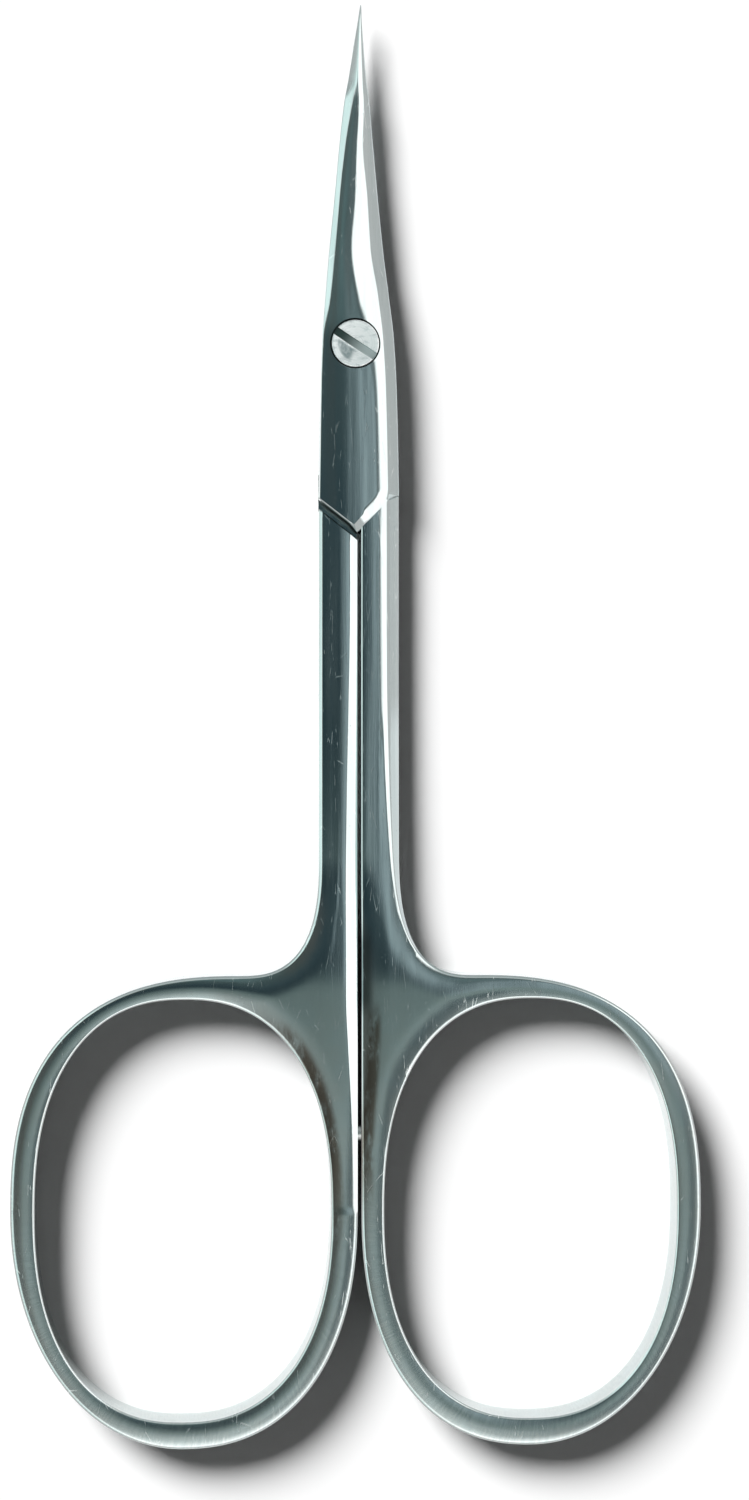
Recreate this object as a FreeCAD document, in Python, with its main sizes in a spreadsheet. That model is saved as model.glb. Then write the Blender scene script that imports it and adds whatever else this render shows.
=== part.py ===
import FreeCAD, Part
import math
import os

import Sketcher

# Cuticle scissors, closed and lying flat. X points right, Y to the tips, Z up.
# The origin is on the pivot axis, at the height of the surface they rest on.

SIZES = {
    # The closed pair
    "gap_line": 0.27,
    "handle_gap": 0.24,
    "joint_thick": 3.2,
    "lap_clearance": 0.03,
    # Pivot plate
    "plate_half": 2.5,
    "plate_corner": 9.6,
    "plate_point": 11.25,
    "plate_point_side": 0.36,
    "step_corner": 9.25,
    "step_corner_side": 1.43,
    "step_side": 9.4,
    "step_bevel": 0.55,
    "shoulder_gap": 0.65,
    # Blade
    "blade_length": 21.33,
    "tip_lean": 0.15,
    # Shank
    "shank_thick": 2.5,
    "top_facet": 0.33,
    "top_facet_drop": 0.15,
    "side_facet": 0.75,
    "side_facet_drop": 1.05,
    "gap_facet": 0.44,
    "gap_facet_drop": 0.28,
    "edge_break": 0.1,
    # Finger bow
    "crown_drop": 39.2,
    "opening_width": 18.3,
    "opening_height": 26.1,
    "rim_outer": 1.5,
    "rim_foot": 1.65,
    "rim_crown": 1.45,
    "rim_round": 0.42,
    "front_rim_inner": 1.41,
    "rear_rim_inner": 1.63,
    "neck_rise": 7.8,
    "web_lap": 0.4,
    "ramp_rise": 7.2,
    "ramp_fall": 3.8,
    "shank_lap": 1.8,
    # Pivot screw
    "head_radius": 1.475,
    "head_thick": 0.7,
    "head_sink": 0.04,
    "recess_clearance": 0.087,
    "journal_radius": 0.9,
    "thread_radius": 0.7,
    "running_clearance": 0.02,
    "fixed_clearance": 0.01,
    "slot_width": 0.5,
    "slot_depth": 0.32,
    "slot_angle": -33.0,
    # Stop pin
    "pin_radius": 0.53,
    "pin_seat": 0.9,
    "pin_fall": 9.8,
    "pin_height": 2.4,
    "pin_clearance": 0.015,
    # Cuts run this far past what they cut
    "overrun": 2.0,
}

# How full each rounded stretch is: 2 is an ellipse, more is squarer
OPENING_POWER = 2.35
CROWN_POWER = 2.53
FOOT_POWER = 2.05
HEEL_POWER = 2.3
NECK_POWER = 2.8
CURVE_STEPS = 8

# The crown of a bow lies this share of the opening's width nearer the gap
CROWN_SHIFT_SHARE = 0.185

# The stations along one half's plate and blade. Along is a share of the blade's
# length (of plate_point below the pivot); width is a share of plate_half, and the
# rest are shares of the half width and of the plate's thickness, in this order:
# height of the back, inset of the back bevel, height of the crest, place of the
# ridge, place and height of the edge facet's top, and height of the cutting edge.
STATION_SHARES = (
    (-1.00, 1.000, 0.94, 0.04, 1.00, 0.568, 0.700, 0.906, 0.25),
    (-0.30, 0.968, 0.94, 0.04, 1.00, 0.555, 0.690, 0.906, 0.25),
    (0.00, 0.904, 0.93, 0.05, 1.00, 0.460, 0.665, 0.900, 0.24),
    (0.14, 0.800, 0.80, 0.09, 0.94, 0.100, 0.600, 0.800, 0.20),
    (0.29, 0.680, 0.62, 0.17, 0.83, -0.190, 0.530, 0.640, 0.16),
    (0.58, 0.438, 0.36, 0.27, 0.58, -0.190, 0.400, 0.430, 0.11),
    (0.79, 0.240, 0.15, 0.75, 0.36, -0.150, 0.450, 0.260, 0.08),
    (1.00, 0.016, 0.04, 0.80, 0.08, 0.000, 0.500, 0.060, 0.04),
)


class Size:
    """A number together with the sheet expression that gives it."""

    def __init__(self, number, text):
        self.number = number
        self.text = text

    def __add__(self, other):
        other = as_size(other)
        return Size(self.number + other.number, f"({self.text} + {other.text})")

    def __sub__(self, other):
        other = as_size(other)
        return Size(self.number - other.number, f"({self.text} - {other.text})")

    def __mul__(self, other):
        other = as_size(other)
        return Size(self.number * other.number, f"({self.text} * {other.text})")

    def __truediv__(self, other):
        other = as_size(other)
        return Size(self.number / other.number, f"({self.text} / {other.text})")

    def __neg__(self):
        return Size(-self.number, f"(-1 * {self.text})")

    __radd__ = __add__
    __rmul__ = __mul__


def as_size(value):
    """Make a plain number a Size."""
    return value if isinstance(value, Size) else Size(float(value), repr(float(value)))


def turn(angle):
    """The cosine and sine of an angle in degrees, as Sizes."""
    radians = math.radians(angle.number)
    return (Size(math.cos(radians), f"cos({angle.text} * 1 deg)"),
            Size(math.sin(radians), f"sin({angle.text} * 1 deg)"))


doc = FreeCAD.newDocument("cuticle_scissors")
sheet = doc.addObject("Spreadsheet::Sheet", "Sizes")
size = {}
for row, (alias, number) in enumerate(SIZES.items(), 1):
    sheet.set(f"A{row}", alias)
    sheet.set(f"B{row}", str(number))
    sheet.setAlias(f"B{row}", alias)
    size[alias] = Size(number, f"Sizes.{alias}")
doc.recompute()

ZERO = as_size(0)
mid_height = size["joint_thick"] / 2
plate_thick = mid_height - size["lap_clearance"] / 2
plate_floor = mid_height + size["lap_clearance"] / 2
bow_crown = -size["crown_drop"]
bow_level = bow_crown - size["rim_crown"] - size["opening_height"] / 2
pin_place = bow_crown - size["pin_fall"]
shank_top = mid_height + size["shank_thick"] / 2
shank_floor = mid_height - size["shank_thick"] / 2


def across(offset):
    """The x of a place at this distance to the outer side of the gap line."""
    return size["gap_line"] + offset


def bind(obj, path, value):
    """Bind one property of an object to the sheet."""
    obj.setExpression(path, as_size(value).text)


def new_body(name):
    """Start a body."""
    return doc.addObject("PartDesign::Body", name)


def new_sketch(body, name, role, level=ZERO):
    """Put a sketch on an origin plane of the body, raised along the plane's normal."""
    sketch = body.newObject("Sketcher::SketchObject", name)
    plane = next(part for part in body.Origin.OriginFeatures if part.Role == role)
    sketch.AttachmentSupport = [(plane, "")]
    sketch.MapMode = "FlatFace"
    bind(sketch, ".AttachmentOffset.Base.z", level)
    return sketch


def hold_point(sketch, curve, end, point):
    """Hold one end of a sketch curve at a place worked out from the sheet."""
    for kind, value in zip(("DistanceX", "DistanceY"), point):
        index = sketch.addConstraint(Sketcher.Constraint(kind, -1, 1, curve, end, value.number))
        bind(sketch, f"Constraints[{index}]", value)


def flat_point(point):
    """A sketch point as a vector."""
    return FreeCAD.Vector(point[0].number, point[1].number, 0)


def add_polygon(sketch, points):
    """Add a closed outline of straight lines whose corners are held by the sheet."""
    points = [(as_size(a), as_size(b)) for a, b in points]
    lines = []
    for first, second in zip(points, points[1:] + points[:1]):
        lines.append(sketch.addGeometry(Part.LineSegment(flat_point(first), flat_point(second))))
    for line, after, point in zip(lines, lines[1:] + lines[:1], points):
        sketch.addConstraint(Sketcher.Constraint("Coincident", line, 2, after, 1))
        hold_point(sketch, line, 1, point)


def add_circle(sketch, centre, radius):
    """Add a circle whose centre and radius are held by the sheet."""
    curve = sketch.addGeometry(
        Part.Circle(flat_point(centre), FreeCAD.Vector(0, 0, 1), radius.number))
    hold_point(sketch, curve, 3, centre)
    index = sketch.addConstraint(Sketcher.Constraint("Radius", curve, radius.number))
    bind(sketch, f"Constraints[{index}]", radius)


def oval_point(centre, reach, power, quarter):
    """A point of a rounded oval, x = a cos^(2/p), y = b sin^(2/p); angles in quarter turns."""
    angle = math.radians(90) * quarter
    place = []
    for middle, half, part in zip(centre, reach, (math.cos(angle), math.sin(angle))):
        part = round(part, 12)
        place.append(middle.number + half.number * math.copysign(abs(part) ** (2 / power), part))
    return FreeCAD.Vector(place[0], place[1], 0)


def quarter_curve(centre, reach, power, start, stop):
    """A quarter of a rounded oval between two of its axes, square to them at its ends."""
    points = [oval_point(centre, reach, power, start + (stop - start) * step / CURVE_STEPS)
              for step in range(CURVE_STEPS + 1)]
    way = stop - start
    ends = [FreeCAD.Vector(round(-math.sin(math.radians(90) * quarter), 12) * way,
                           round(math.cos(math.radians(90) * quarter), 12) * way, 0)
            for quarter in (start, stop)]
    curve = Part.BSplineCurve()
    curve.interpolate(Points=points, InitialTangent=ends[0], FinalTangent=ends[1])
    return curve


def oval_curve(centre, reach, power):
    """A whole rounded oval as one closed smooth curve."""
    points = [oval_point(centre, reach, power, step / CURVE_STEPS)
              for step in range(CURVE_STEPS * 4)]
    curve = Part.BSplineCurve()
    curve.interpolate(Points=points, PeriodicFlag=True)
    return curve


def pad(body, sketch, length, backwards=False):
    """Raise a sketch along its plane's normal."""
    feature = body.newObject("PartDesign::Pad", f"{sketch.Name}_pad")
    feature.Profile = sketch
    feature.Reversed = backwards
    bind(feature, "Length", length)
    sketch.Visibility = False
    return feature


def pocket(body, sketch, depth, backwards=False, both_ways=False):
    """Cut a sketch into the body; it cuts against its plane's normal unless backwards."""
    feature = body.newObject("PartDesign::Pocket", f"{sketch.Name}_pocket")
    feature.Profile = sketch
    feature.Reversed = backwards
    feature.Midplane = both_ways
    bind(feature, "Length", depth)
    sketch.Visibility = False
    return feature


def edge_names(shape, wanted):
    """The names of the edges for which wanted(edge) is true."""
    return [f"Edge{number}" for number, edge in enumerate(shape.Edges, 1) if wanted(edge)]


def lies_at(edge, axis, place):
    """Whether every end of an edge has this coordinate along an axis."""
    return all(abs(vertex.Point[axis] - place) < 1e-6 for vertex in edge.Vertexes)


def blade_and_shank(name, lean):
    """The blade, the pivot plate and the shank of one half, as one body."""
    body = new_body(name)
    sections = []
    for number, row in enumerate(STATION_SHARES, 1):
        (along, width, back, inset, crest, ridge, facet, facet_height, edge) = row
        run = size["blade_length"] if along > 0 else size["plate_point"]
        half = size["plate_half"] * width
        bend = max(along, 0) ** 3
        centre = across(lean * bend)
        places = (
            (half * -1, ZERO), (half * -1, plate_thick * back),
            (half * (inset - 1), plate_thick * crest), (half * ridge, plate_thick * crest),
            (half * facet, plate_thick * facet_height), (half, plate_thick * edge), (half, ZERO))
        sketch = new_sketch(body, f"{name}_section_{number}", "XZ_Plane", run * -along)
        add_polygon(sketch, [(centre + side, plate_floor + up) for side, up in places])
        sketch.Visibility = False
        sections.append(sketch)
    loft = body.newObject("PartDesign::AdditiveLoft", f"{name}_loft")
    loft.Profile = sections[0]
    loft.Sections = sections[1:]
    loft.Ruled = True

    # The plate's lower end comes to a point: its free side is cut off on a slant
    far = size["plate_half"] + size["overrun"]
    low = size["plate_point"] + size["overrun"]
    point_side = across(-size["plate_point_side"])
    foot = new_sketch(body, f"{name}_foot", "XY_Plane", plate_floor - size["overrun"])
    add_polygon(foot, [
        (across(-far), -size["plate_corner"]),
        (across(-size["plate_half"]), -size["plate_corner"]),
        (point_side, -size["plate_point"]), (point_side, -low), (across(-far), -low)])
    pocket(body, foot, size["joint_thick"] + size["overrun"] * 2, backwards=True)

    # On its shank's side the plate steps down to the shank over a bevelled edge
    step = new_sketch(body, f"{name}_step", "XY_Plane", size["joint_thick"])
    add_polygon(step, [
        (point_side, -size["plate_point"]),
        (across(size["step_corner_side"]), -size["step_corner"]),
        (across(far), -size["step_side"]), (across(far), -low), (point_side, -low)])
    fall = size["joint_thick"] - shank_top
    step_cut = pocket(body, step, fall)
    slant = math.degrees(math.atan2(size["step_bevel"].number, fall.number))
    bind(step_cut, "TaperAngle", Size(-slant, f"-atan({size['step_bevel'].text} / {fall.text})"))

    # The shank, one section long, starts inside the plate
    shank = new_sketch(body, f"{name}_shank", "XZ_Plane", size["step_corner"] - size["top_facet"])
    inner = across(size["handle_gap"] / 2)
    outer = across(size["plate_half"])
    add_polygon(shank, [
        (inner, shank_floor + size["gap_facet_drop"]),
        (inner + size["gap_facet"], shank_floor),
        (outer - size["edge_break"], shank_floor),
        (outer, shank_floor + size["edge_break"]),
        (outer, shank_top - size["top_facet_drop"] - size["side_facet_drop"]),
        (outer - size["side_facet"], shank_top - size["top_facet_drop"]),
        (outer - size["side_facet"] - size["top_facet"], shank_top),
        (inner + size["edge_break"], shank_top),
        (inner, shank_top - size["edge_break"])])
    pad(body, shank, size["shank_lap"] - bow_crown - size["step_corner"] + size["top_facet"])

    # Under the plate the shank ends at a slanted shoulder, clear of the other plate
    shoulder = new_sketch(body, f"{name}_shoulder", "XY_Plane", plate_floor)
    corner = -(size["plate_corner"] + size["shoulder_gap"])
    point = -(size["plate_point"] + size["shoulder_gap"])
    add_polygon(shoulder, [
        (across(size["plate_half"] + size["overrun"]), ZERO),
        (across(size["plate_half"] + size["overrun"]), corner),
        (across(size["plate_half"]), corner),
        (across(size["plate_point_side"]), point),
        (across(-size["overrun"]), point),
        (across(-size["overrun"]), ZERO)])
    pocket(body, shoulder, size["joint_thick"])
    return body


def finger_bow(name, rim_inner):
    """One finger bow with the web that joins it to its shank."""
    body = new_body(name)
    outline = new_sketch(body, f"{name}_outline", "XY_Plane")
    level = bow_level
    half_width = size["opening_width"] / 2
    half_height = size["opening_height"] / 2
    inner = across(size["handle_gap"] / 2)
    middle = inner + rim_inner + half_width
    outer = middle + half_width + size["rim_outer"]
    crown = bow_crown
    foot = half_height + size["rim_foot"]
    crown_x = middle - size["opening_width"] * CROWN_SHIFT_SHARE
    shank_x = across(size["plate_half"])
    neck = crown + size["neck_rise"]
    start = neck + size["web_lap"]
    chain = [
        quarter_curve((middle, level), (middle - inner, foot), HEEL_POWER, 2, 3),
        quarter_curve((middle, level), (outer - middle, foot), FOOT_POWER, 3, 4),
        quarter_curve((crown_x, level), (outer - crown_x, crown - level), CROWN_POWER, 0, 1),
        quarter_curve((crown_x, neck), (crown_x - shank_x, neck - crown), NECK_POWER, 3, 2),
        Part.LineSegment(flat_point((shank_x, neck)), flat_point((shank_x, start))),
        Part.LineSegment(flat_point((shank_x, start)), flat_point((inner, start))),
        Part.LineSegment(flat_point((inner, start)), flat_point((inner, level)))]
    for curve in chain:
        outline.addGeometry(curve)
    outline.addGeometry(oval_curve((middle, level), (half_width, half_height), OPENING_POWER))
    pad(body, outline, size["joint_thick"])
    doc.recompute()

    def on_rim(edge):
        """Whether an edge lies on the upper or lower face, apart from the straight end."""
        return ((lies_at(edge, 2, 0) or lies_at(edge, 2, size["joint_thick"].number))
                and not lies_at(edge, 1, start.number))

    def round_opening(edge):
        """Whether an edge runs round the finger opening."""
        return all(abs(vertex.Point.x - middle.number) < half_width.number + 1e-6
                   and abs(vertex.Point.y - level.number) < half_height.number + 1e-6
                   for vertex in edge.Vertexes)

    for mark, inside in (("opening", True), ("outside", False)):
        names = edge_names(body.Tip.Shape, lambda edge: (
            on_rim(edge) and round_opening(edge) == inside))
        rounding = body.newObject("PartDesign::Fillet", f"{name}_{mark}_rounding")
        rounding.Base = (body.Tip if body.Tip != rounding else rounding.BaseFeature, names)
        bind(rounding, "Radius", size["rim_round"])
        body.Tip = rounding
        doc.recompute()

    # The web thins towards the shank, above and below
    for mark, face, rise in (("top", size["joint_thick"], shank_top), ("floor", ZERO, shank_floor)):
        beyond = face + size["overrun"] * (1 if mark == "top" else -1)
        ramp = new_sketch(body, f"{name}_ramp_{mark}", "YZ_Plane")
        add_polygon(ramp, [
            (start + size["overrun"], rise), (crown + size["ramp_rise"], rise),
            (crown - size["ramp_fall"], face), (crown - size["ramp_fall"], beyond),
            (start + size["overrun"], beyond)])
        pocket(body, ramp, (outer + size["overrun"]) * 2, both_ways=True)
    return body


def bore(body, name, centre_x, radius, level, depth):
    """Cut a round hole down from a level."""
    sketch = new_sketch(body, name, "XY_Plane", level)
    add_circle(sketch, (centre_x, ZERO), radius)
    pocket(body, sketch, depth)


def front_half():
    """The half on top: a counterbore takes the screw's head."""
    blank = blade_and_shank("front_blank", size["tip_lean"])
    bore(blank, "recess", ZERO, size["head_radius"] + size["recess_clearance"],
         size["joint_thick"], size["head_thick"] + size["head_sink"] + size["running_clearance"])
    bore(blank, "bearing", ZERO, size["journal_radius"] + size["running_clearance"],
         size["joint_thick"], size["joint_thick"])
    bow = finger_bow("front_bow", size["front_rim_inner"])
    half = doc.addObject("Part::Fuse", "front_half")
    half.Base = blank
    half.Tool = bow
    return half


def rear_half():
    """The half beneath: made the same way up, then turned over about the gap line."""
    pivot_x = size["gap_line"] * 2
    blank = blade_and_shank("rear_blank", -size["tip_lean"])
    bore(blank, "tapped_hole", pivot_x, size["thread_radius"] + size["fixed_clearance"],
         size["joint_thick"] + size["overrun"], size["joint_thick"] + size["overrun"])
    bow = finger_bow("rear_bow", size["rear_rim_inner"])
    seat = new_sketch(bow, "pin_seat", "YZ_Plane")
    add_circle(seat, (pin_place, size["joint_thick"] - size["pin_height"]),
               size["pin_radius"] + size["fixed_clearance"])
    pocket(bow, seat, across(size["handle_gap"] / 2) + size["pin_seat"], backwards=True)
    half = doc.addObject("Part::Fuse", "rear_half")
    half.Base = blank
    half.Tool = bow
    half.Placement = FreeCAD.Placement(
        FreeCAD.Vector(pivot_x.number, 0, size["joint_thick"].number),
        FreeCAD.Rotation(FreeCAD.Vector(0, 1, 0), 180))
    bind(half, ".Placement.Base.x", pivot_x)
    bind(half, ".Placement.Base.z", size["joint_thick"])
    return half


def pivot_screw():
    """A slotted shoulder screw, turned in one piece."""
    body = new_body("pivot_screw")
    profile = new_sketch(body, "screw_profile", "XZ_Plane")
    top = size["joint_thick"] - size["head_sink"]
    under_head = top - size["head_thick"]
    shoulder = plate_floor - size["lap_clearance"] + size["fixed_clearance"]
    add_polygon(profile, [
        (ZERO, ZERO), (size["thread_radius"] - size["edge_break"], ZERO),
        (size["thread_radius"], size["edge_break"]),
        (size["thread_radius"], shoulder), (size["journal_radius"], shoulder),
        (size["journal_radius"], under_head), (size["head_radius"], under_head),
        (size["head_radius"], top - size["edge_break"]),
        (size["head_radius"] - size["edge_break"], top), (ZERO, top)])
    turned = body.newObject("PartDesign::Revolution", "screw_turned")
    turned.Profile = profile
    turned.ReferenceAxis = (profile, ["V_Axis"])
    turned.Angle = 360
    profile.Visibility = False

    slot = new_sketch(body, "screw_slot", "XY_Plane", top + size["overrun"])
    cosine, sine = turn(size["slot_angle"])
    reach = size["head_radius"] + size["overrun"]
    half = size["slot_width"] / 2
    add_polygon(slot, [
        (cosine * along - sine * side, sine * along + cosine * side)
        for along, side in ((-reach, -half), (reach, -half), (reach, half), (-reach, half))])
    pocket(body, slot, size["slot_depth"] + size["overrun"])
    return body


def stop_pin():
    """A short pin across the gap, set in the rear half."""
    body = new_body("stop_pin")
    gap_half = size["handle_gap"] / 2
    seat_floor = across(-gap_half) - size["pin_seat"] + size["fixed_clearance"]
    circle = new_sketch(body, "pin_circle", "YZ_Plane", seat_floor)
    add_circle(circle, (pin_place, size["pin_height"]), size["pin_radius"])
    pad(body, circle, across(gap_half) - size["pin_clearance"] - seat_floor)
    return body


parts = [front_half(), rear_half(), pivot_screw(), stop_pin()]
doc.recompute()

for item in doc.Objects:
    if "Invalid" in item.State or "Error" in item.State:
        raise SystemExit(f"{item.Name} failed: {item.State}")

os.makedirs("parts", exist_ok=True)
for item in parts:
    shape = item.Shape
    if shape.isNull() or not shape.isValid() or len(shape.Solids) != 1:
        raise SystemExit(f"{item.Label} isn't one valid solid")
    shape.exportStep(f"parts/{item.Label}.step")
    print(item.Label, round(shape.Volume, 3), shape.BoundBox)
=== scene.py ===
"""Cuticle scissors, closed and lying flat: polished steel halves, screw and stop pin."""

import logging
import math
from dataclasses import dataclass, field
from enum import Enum
from typing import Callable, Optional, Sequence

import bmesh
import bpy
from mathutils import Matrix, Vector
from mathutils.kdtree import KDTree


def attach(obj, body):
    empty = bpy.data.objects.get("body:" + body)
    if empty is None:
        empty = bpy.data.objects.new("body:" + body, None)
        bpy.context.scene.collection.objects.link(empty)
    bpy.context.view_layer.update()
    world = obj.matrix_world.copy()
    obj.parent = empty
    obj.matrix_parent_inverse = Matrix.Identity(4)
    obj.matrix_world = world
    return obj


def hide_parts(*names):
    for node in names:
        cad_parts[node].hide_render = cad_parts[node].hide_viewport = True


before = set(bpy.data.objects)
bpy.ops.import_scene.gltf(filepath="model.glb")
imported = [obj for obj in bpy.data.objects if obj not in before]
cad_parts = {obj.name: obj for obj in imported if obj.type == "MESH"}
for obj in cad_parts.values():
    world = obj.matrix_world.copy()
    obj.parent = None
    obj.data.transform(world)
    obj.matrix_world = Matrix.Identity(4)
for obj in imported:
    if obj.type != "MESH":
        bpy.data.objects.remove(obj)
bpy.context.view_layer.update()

LOG = logging.getLogger("scissors")
MM = 0.001
# Points across the top or floor of a slice, and between them up its walls
ACROSS = 34
WALL = 3
# How far the finger openings are from an ellipse, whose power is 2
OPENING_POWER = 2.35

Point = tuple[float, float]
Colour = tuple[float, float, float, float]
Socket = bpy.types.NodeSocket


class Hand(Enum):
    """Which half a piece belongs to."""

    FRONT = "front"
    REAR = "rear"


class EdgeForm(Enum):
    """How an edge falls away from its face."""

    BROKEN = "broken"
    FACETED = "faceted"
    CHAMFERED = "chamfered"


# Curves


def steady(stops: Sequence[Point]) -> Callable[[float], float]:
    """A smooth curve through stops that never swings past them.

    Args:
        stops: Pairs of place and value, with the places rising.

    Returns:
        A function from place to value, level beyond the first and last stop.
    """
    places = [place for place, _ in stops]
    values = [value for _, value in stops]
    chords = [(values[i + 1] - values[i]) / (places[i + 1] - places[i])
              for i in range(len(stops) - 1)]
    slopes = [chords[0]]
    for before, after in zip(chords, chords[1:]):
        slopes.append(0.0 if before * after <= 0 else 2 * before * after / (before + after))
    slopes.append(chords[-1])

    def value_at(place: float) -> float:
        """The curve's value at a place."""
        if place <= places[0]:
            return values[0]
        if place >= places[-1]:
            return values[-1]
        step = next(i for i in range(len(chords)) if place <= places[i + 1])
        run = places[step + 1] - places[step]
        t = (place - places[step]) / run
        return ((2 * t ** 3 - 3 * t ** 2 + 1) * values[step]
                + (t ** 3 - 2 * t ** 2 + t) * run * slopes[step]
                + (3 * t ** 2 - 2 * t ** 3) * values[step + 1]
                + (t ** 3 - t ** 2) * run * slopes[step + 1])

    return value_at


def blend(first: float, second: float, share: float) -> float:
    """The value a share of the way from first to second."""
    return first + (second - first) * share


def blend_point(first: Point, second: Point, share: float) -> Point:
    """The point a share of the way from first to second."""
    return (blend(first[0], second[0], share), blend(first[1], second[1], share))


def ease(share: float) -> float:
    """A share from 0 to 1 with soft ends."""
    share = min(max(share, 0.0), 1.0)
    return share * share * (3 - 2 * share)


def oval(centre: Point, reach: Point, power: float, degrees: float) -> Point:
    """A point of a rounded oval.

    Args:
        centre: Middle of the oval.
        reach: Half of its width and height.
        power: 2 for an ellipse, more for a squarer form.
        degrees: Place round the oval, from +X towards +Y.

    Returns:
        The point.
    """
    cosine, sine = math.cos(math.radians(degrees)), math.sin(math.radians(degrees))
    return (centre[0] + reach[0] * math.copysign(abs(cosine) ** (2 / power), cosine),
            centre[1] + reach[1] * math.copysign(abs(sine) ** (2 / power), sine))


def even_points(path: Callable[[float], Point], count: int) -> list[Point]:
    """Points spaced evenly along a path.

    Args:
        path: A function from 0 to 1 to a point.
        count: How many steps to divide it into.

    Returns:
        The points with both ends, count + 1 in all.
    """
    fine = [path(i / 800) for i in range(801)]
    lengths = [0.0]
    for a, b in zip(fine, fine[1:]):
        lengths.append(lengths[-1] + math.dist(a, b))
    points, at = [], 0
    for i in range(count + 1):
        goal = lengths[-1] * i / count
        while at < len(fine) - 2 and lengths[at + 1] < goal:
            at += 1
        span = lengths[at + 1] - lengths[at]
        points.append(blend_point(fine[at], fine[at + 1],
                                  (goal - lengths[at]) / span if span else 0.0))
    return points


def soft_slope(x: float, soft: float) -> float:
    """A slope that starts at zero with a softened corner."""
    return (x + math.sqrt(x * x + soft * soft)) / 2


def fall(form: EdgeForm, share: float) -> float:
    """How far an edge has fallen, as a share of its whole drop.

    Args:
        form: The edge's form.
        share: Distance from the rim as a share of the edge's width.

    Returns:
        1 at the rim, 0 where the edge meets its face and beyond.
    """
    if share >= 1.25:
        return 0.0
    if form is EdgeForm.BROKEN:
        return soft_slope(1 - share, 0.25) / 1.016
    if form is EdgeForm.CHAMFERED:
        return soft_slope(1 - share, 0.05) * 0.99
    return (0.41 * soft_slope(1 - share, 0.05) + 0.85 * soft_slope(0.694 - share, 0.07)) / 1.003


def spread(length: float, near: Sequence[float], far: Sequence[float]) -> list[float]:
    """Shares of a slice's length that crowd towards its two ends.

    Args:
        length: Length of the slice.
        near: Distances from its start, rising from 0.
        far: Distances from its end, rising from 0.

    Returns:
        ACROSS shares that rise from 0 to 1.
    """
    fit = min(1.0, 0.94 * length / (near[-1] + far[-1]))
    head = [d * fit / length for d in near]
    tail = [1 - d * fit / length for d in reversed(far)]
    fill = ACROSS - len(head) - len(tail)
    middle = [blend(head[-1], tail[0], (i + 1) / (fill + 1)) for i in range(fill)]
    return head + middle + tail


def slant(run: Point, across: Point) -> float:
    """How much further an edge reaches along a slice that meets it at a slant.

    Args:
        run: Direction of the edge.
        across: Direction of the slice.

    Returns:
        1 where the two are square to each other, and at most 4.
    """
    cross = abs(run[0] * across[1] - run[1] * across[0])
    return min(math.hypot(*run) * math.hypot(*across) / max(cross, 1e-9), 4.0)


def between_points(first: Point, second: Point) -> Point:
    """The direction from first to second, with its length."""
    return (second[0] - first[0], second[1] - first[1])


# Mesh work


def woven(columns: Sequence[Sequence[Vector]], skip: Callable[[int, int], bool] = lambda c, r: False,
          marks: Optional[Sequence[Sequence[float]]] = None) -> bmesh.types.BMesh:
    """A sheet whose vertices stand at given places, with matching ones merged.

    Args:
        columns: Columns of points, all of one length.
        skip: Tells whether the face at a column and row is left open.
        marks: A value for each point, kept in the layer edge_near.

    Returns:
        A new bmesh.
    """
    across, along = len(columns), len(columns[0])
    mesh = bmesh.new()
    bmesh.ops.create_grid(mesh, x_segments=across - 1, y_segments=along - 1, size=1)
    layer = mesh.verts.layers.float.new("edge_near")
    place = {}
    for vert in mesh.verts:
        column = round((vert.co.x + 1) / 2 * (across - 1))
        row = round((vert.co.y + 1) / 2 * (along - 1))
        place[vert] = (column, row)
    open_faces = [face for face in mesh.faces
                  if skip(min(place[v][0] for v in face.verts), min(place[v][1] for v in face.verts))]
    for vert, (column, row) in place.items():
        vert.co = columns[column][row]
        if marks is not None:
            vert[layer] = marks[column][row]
    bmesh.ops.delete(mesh, geom=open_faces, context="FACES")
    bmesh.ops.remove_doubles(mesh, verts=mesh.verts, dist=1e-5)
    return mesh


def close_up(mesh: bmesh.types.BMesh) -> None:
    """Fill what is open and turn every face outwards."""
    bmesh.ops.holes_fill(mesh, edges=[edge for edge in mesh.edges if edge.is_boundary], sides=0)
    bmesh.ops.dissolve_degenerate(mesh, dist=1e-6, edges=mesh.edges)
    bmesh.ops.recalc_face_normals(mesh, faces=mesh.faces)


def turned(profile: Sequence[Point], centre: Point, steps: int) -> bmesh.types.BMesh:
    """A solid of revolution about an upright axis.

    Args:
        profile: Radius and height of each corner, from the axis back to the axis.
        centre: Where the axis stands.
        steps: Faces round the axis.

    Returns:
        A closed bmesh.
    """
    mesh = bmesh.new()
    verts = [mesh.verts.new((centre[0] + radius, centre[1], height)) for radius, height in profile]
    edges = [mesh.edges.new(pair) for pair in zip(verts, verts[1:])]
    bmesh.ops.spin(mesh, geom=verts + edges, cent=(*centre, 0), axis=(0, 0, 1),
                   angle=math.tau, steps=steps, use_merge=True)
    bmesh.ops.remove_doubles(mesh, verts=mesh.verts, dist=1e-5)
    bmesh.ops.recalc_face_normals(mesh, faces=mesh.faces)
    return mesh


def settle(mesh: bmesh.types.BMesh, name: str) -> bpy.types.Mesh:
    """Keep a bmesh as mesh data and free it."""
    data = bpy.data.meshes.new(name)
    mesh.to_mesh(data)
    mesh.free()
    return data


def linked(name: str, data: bpy.types.ID) -> bpy.types.Object:
    """Make an object of data and put it in the scene."""
    made = bpy.data.objects.new(name, data)
    bpy.context.scene.collection.objects.link(made)
    return made


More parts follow.
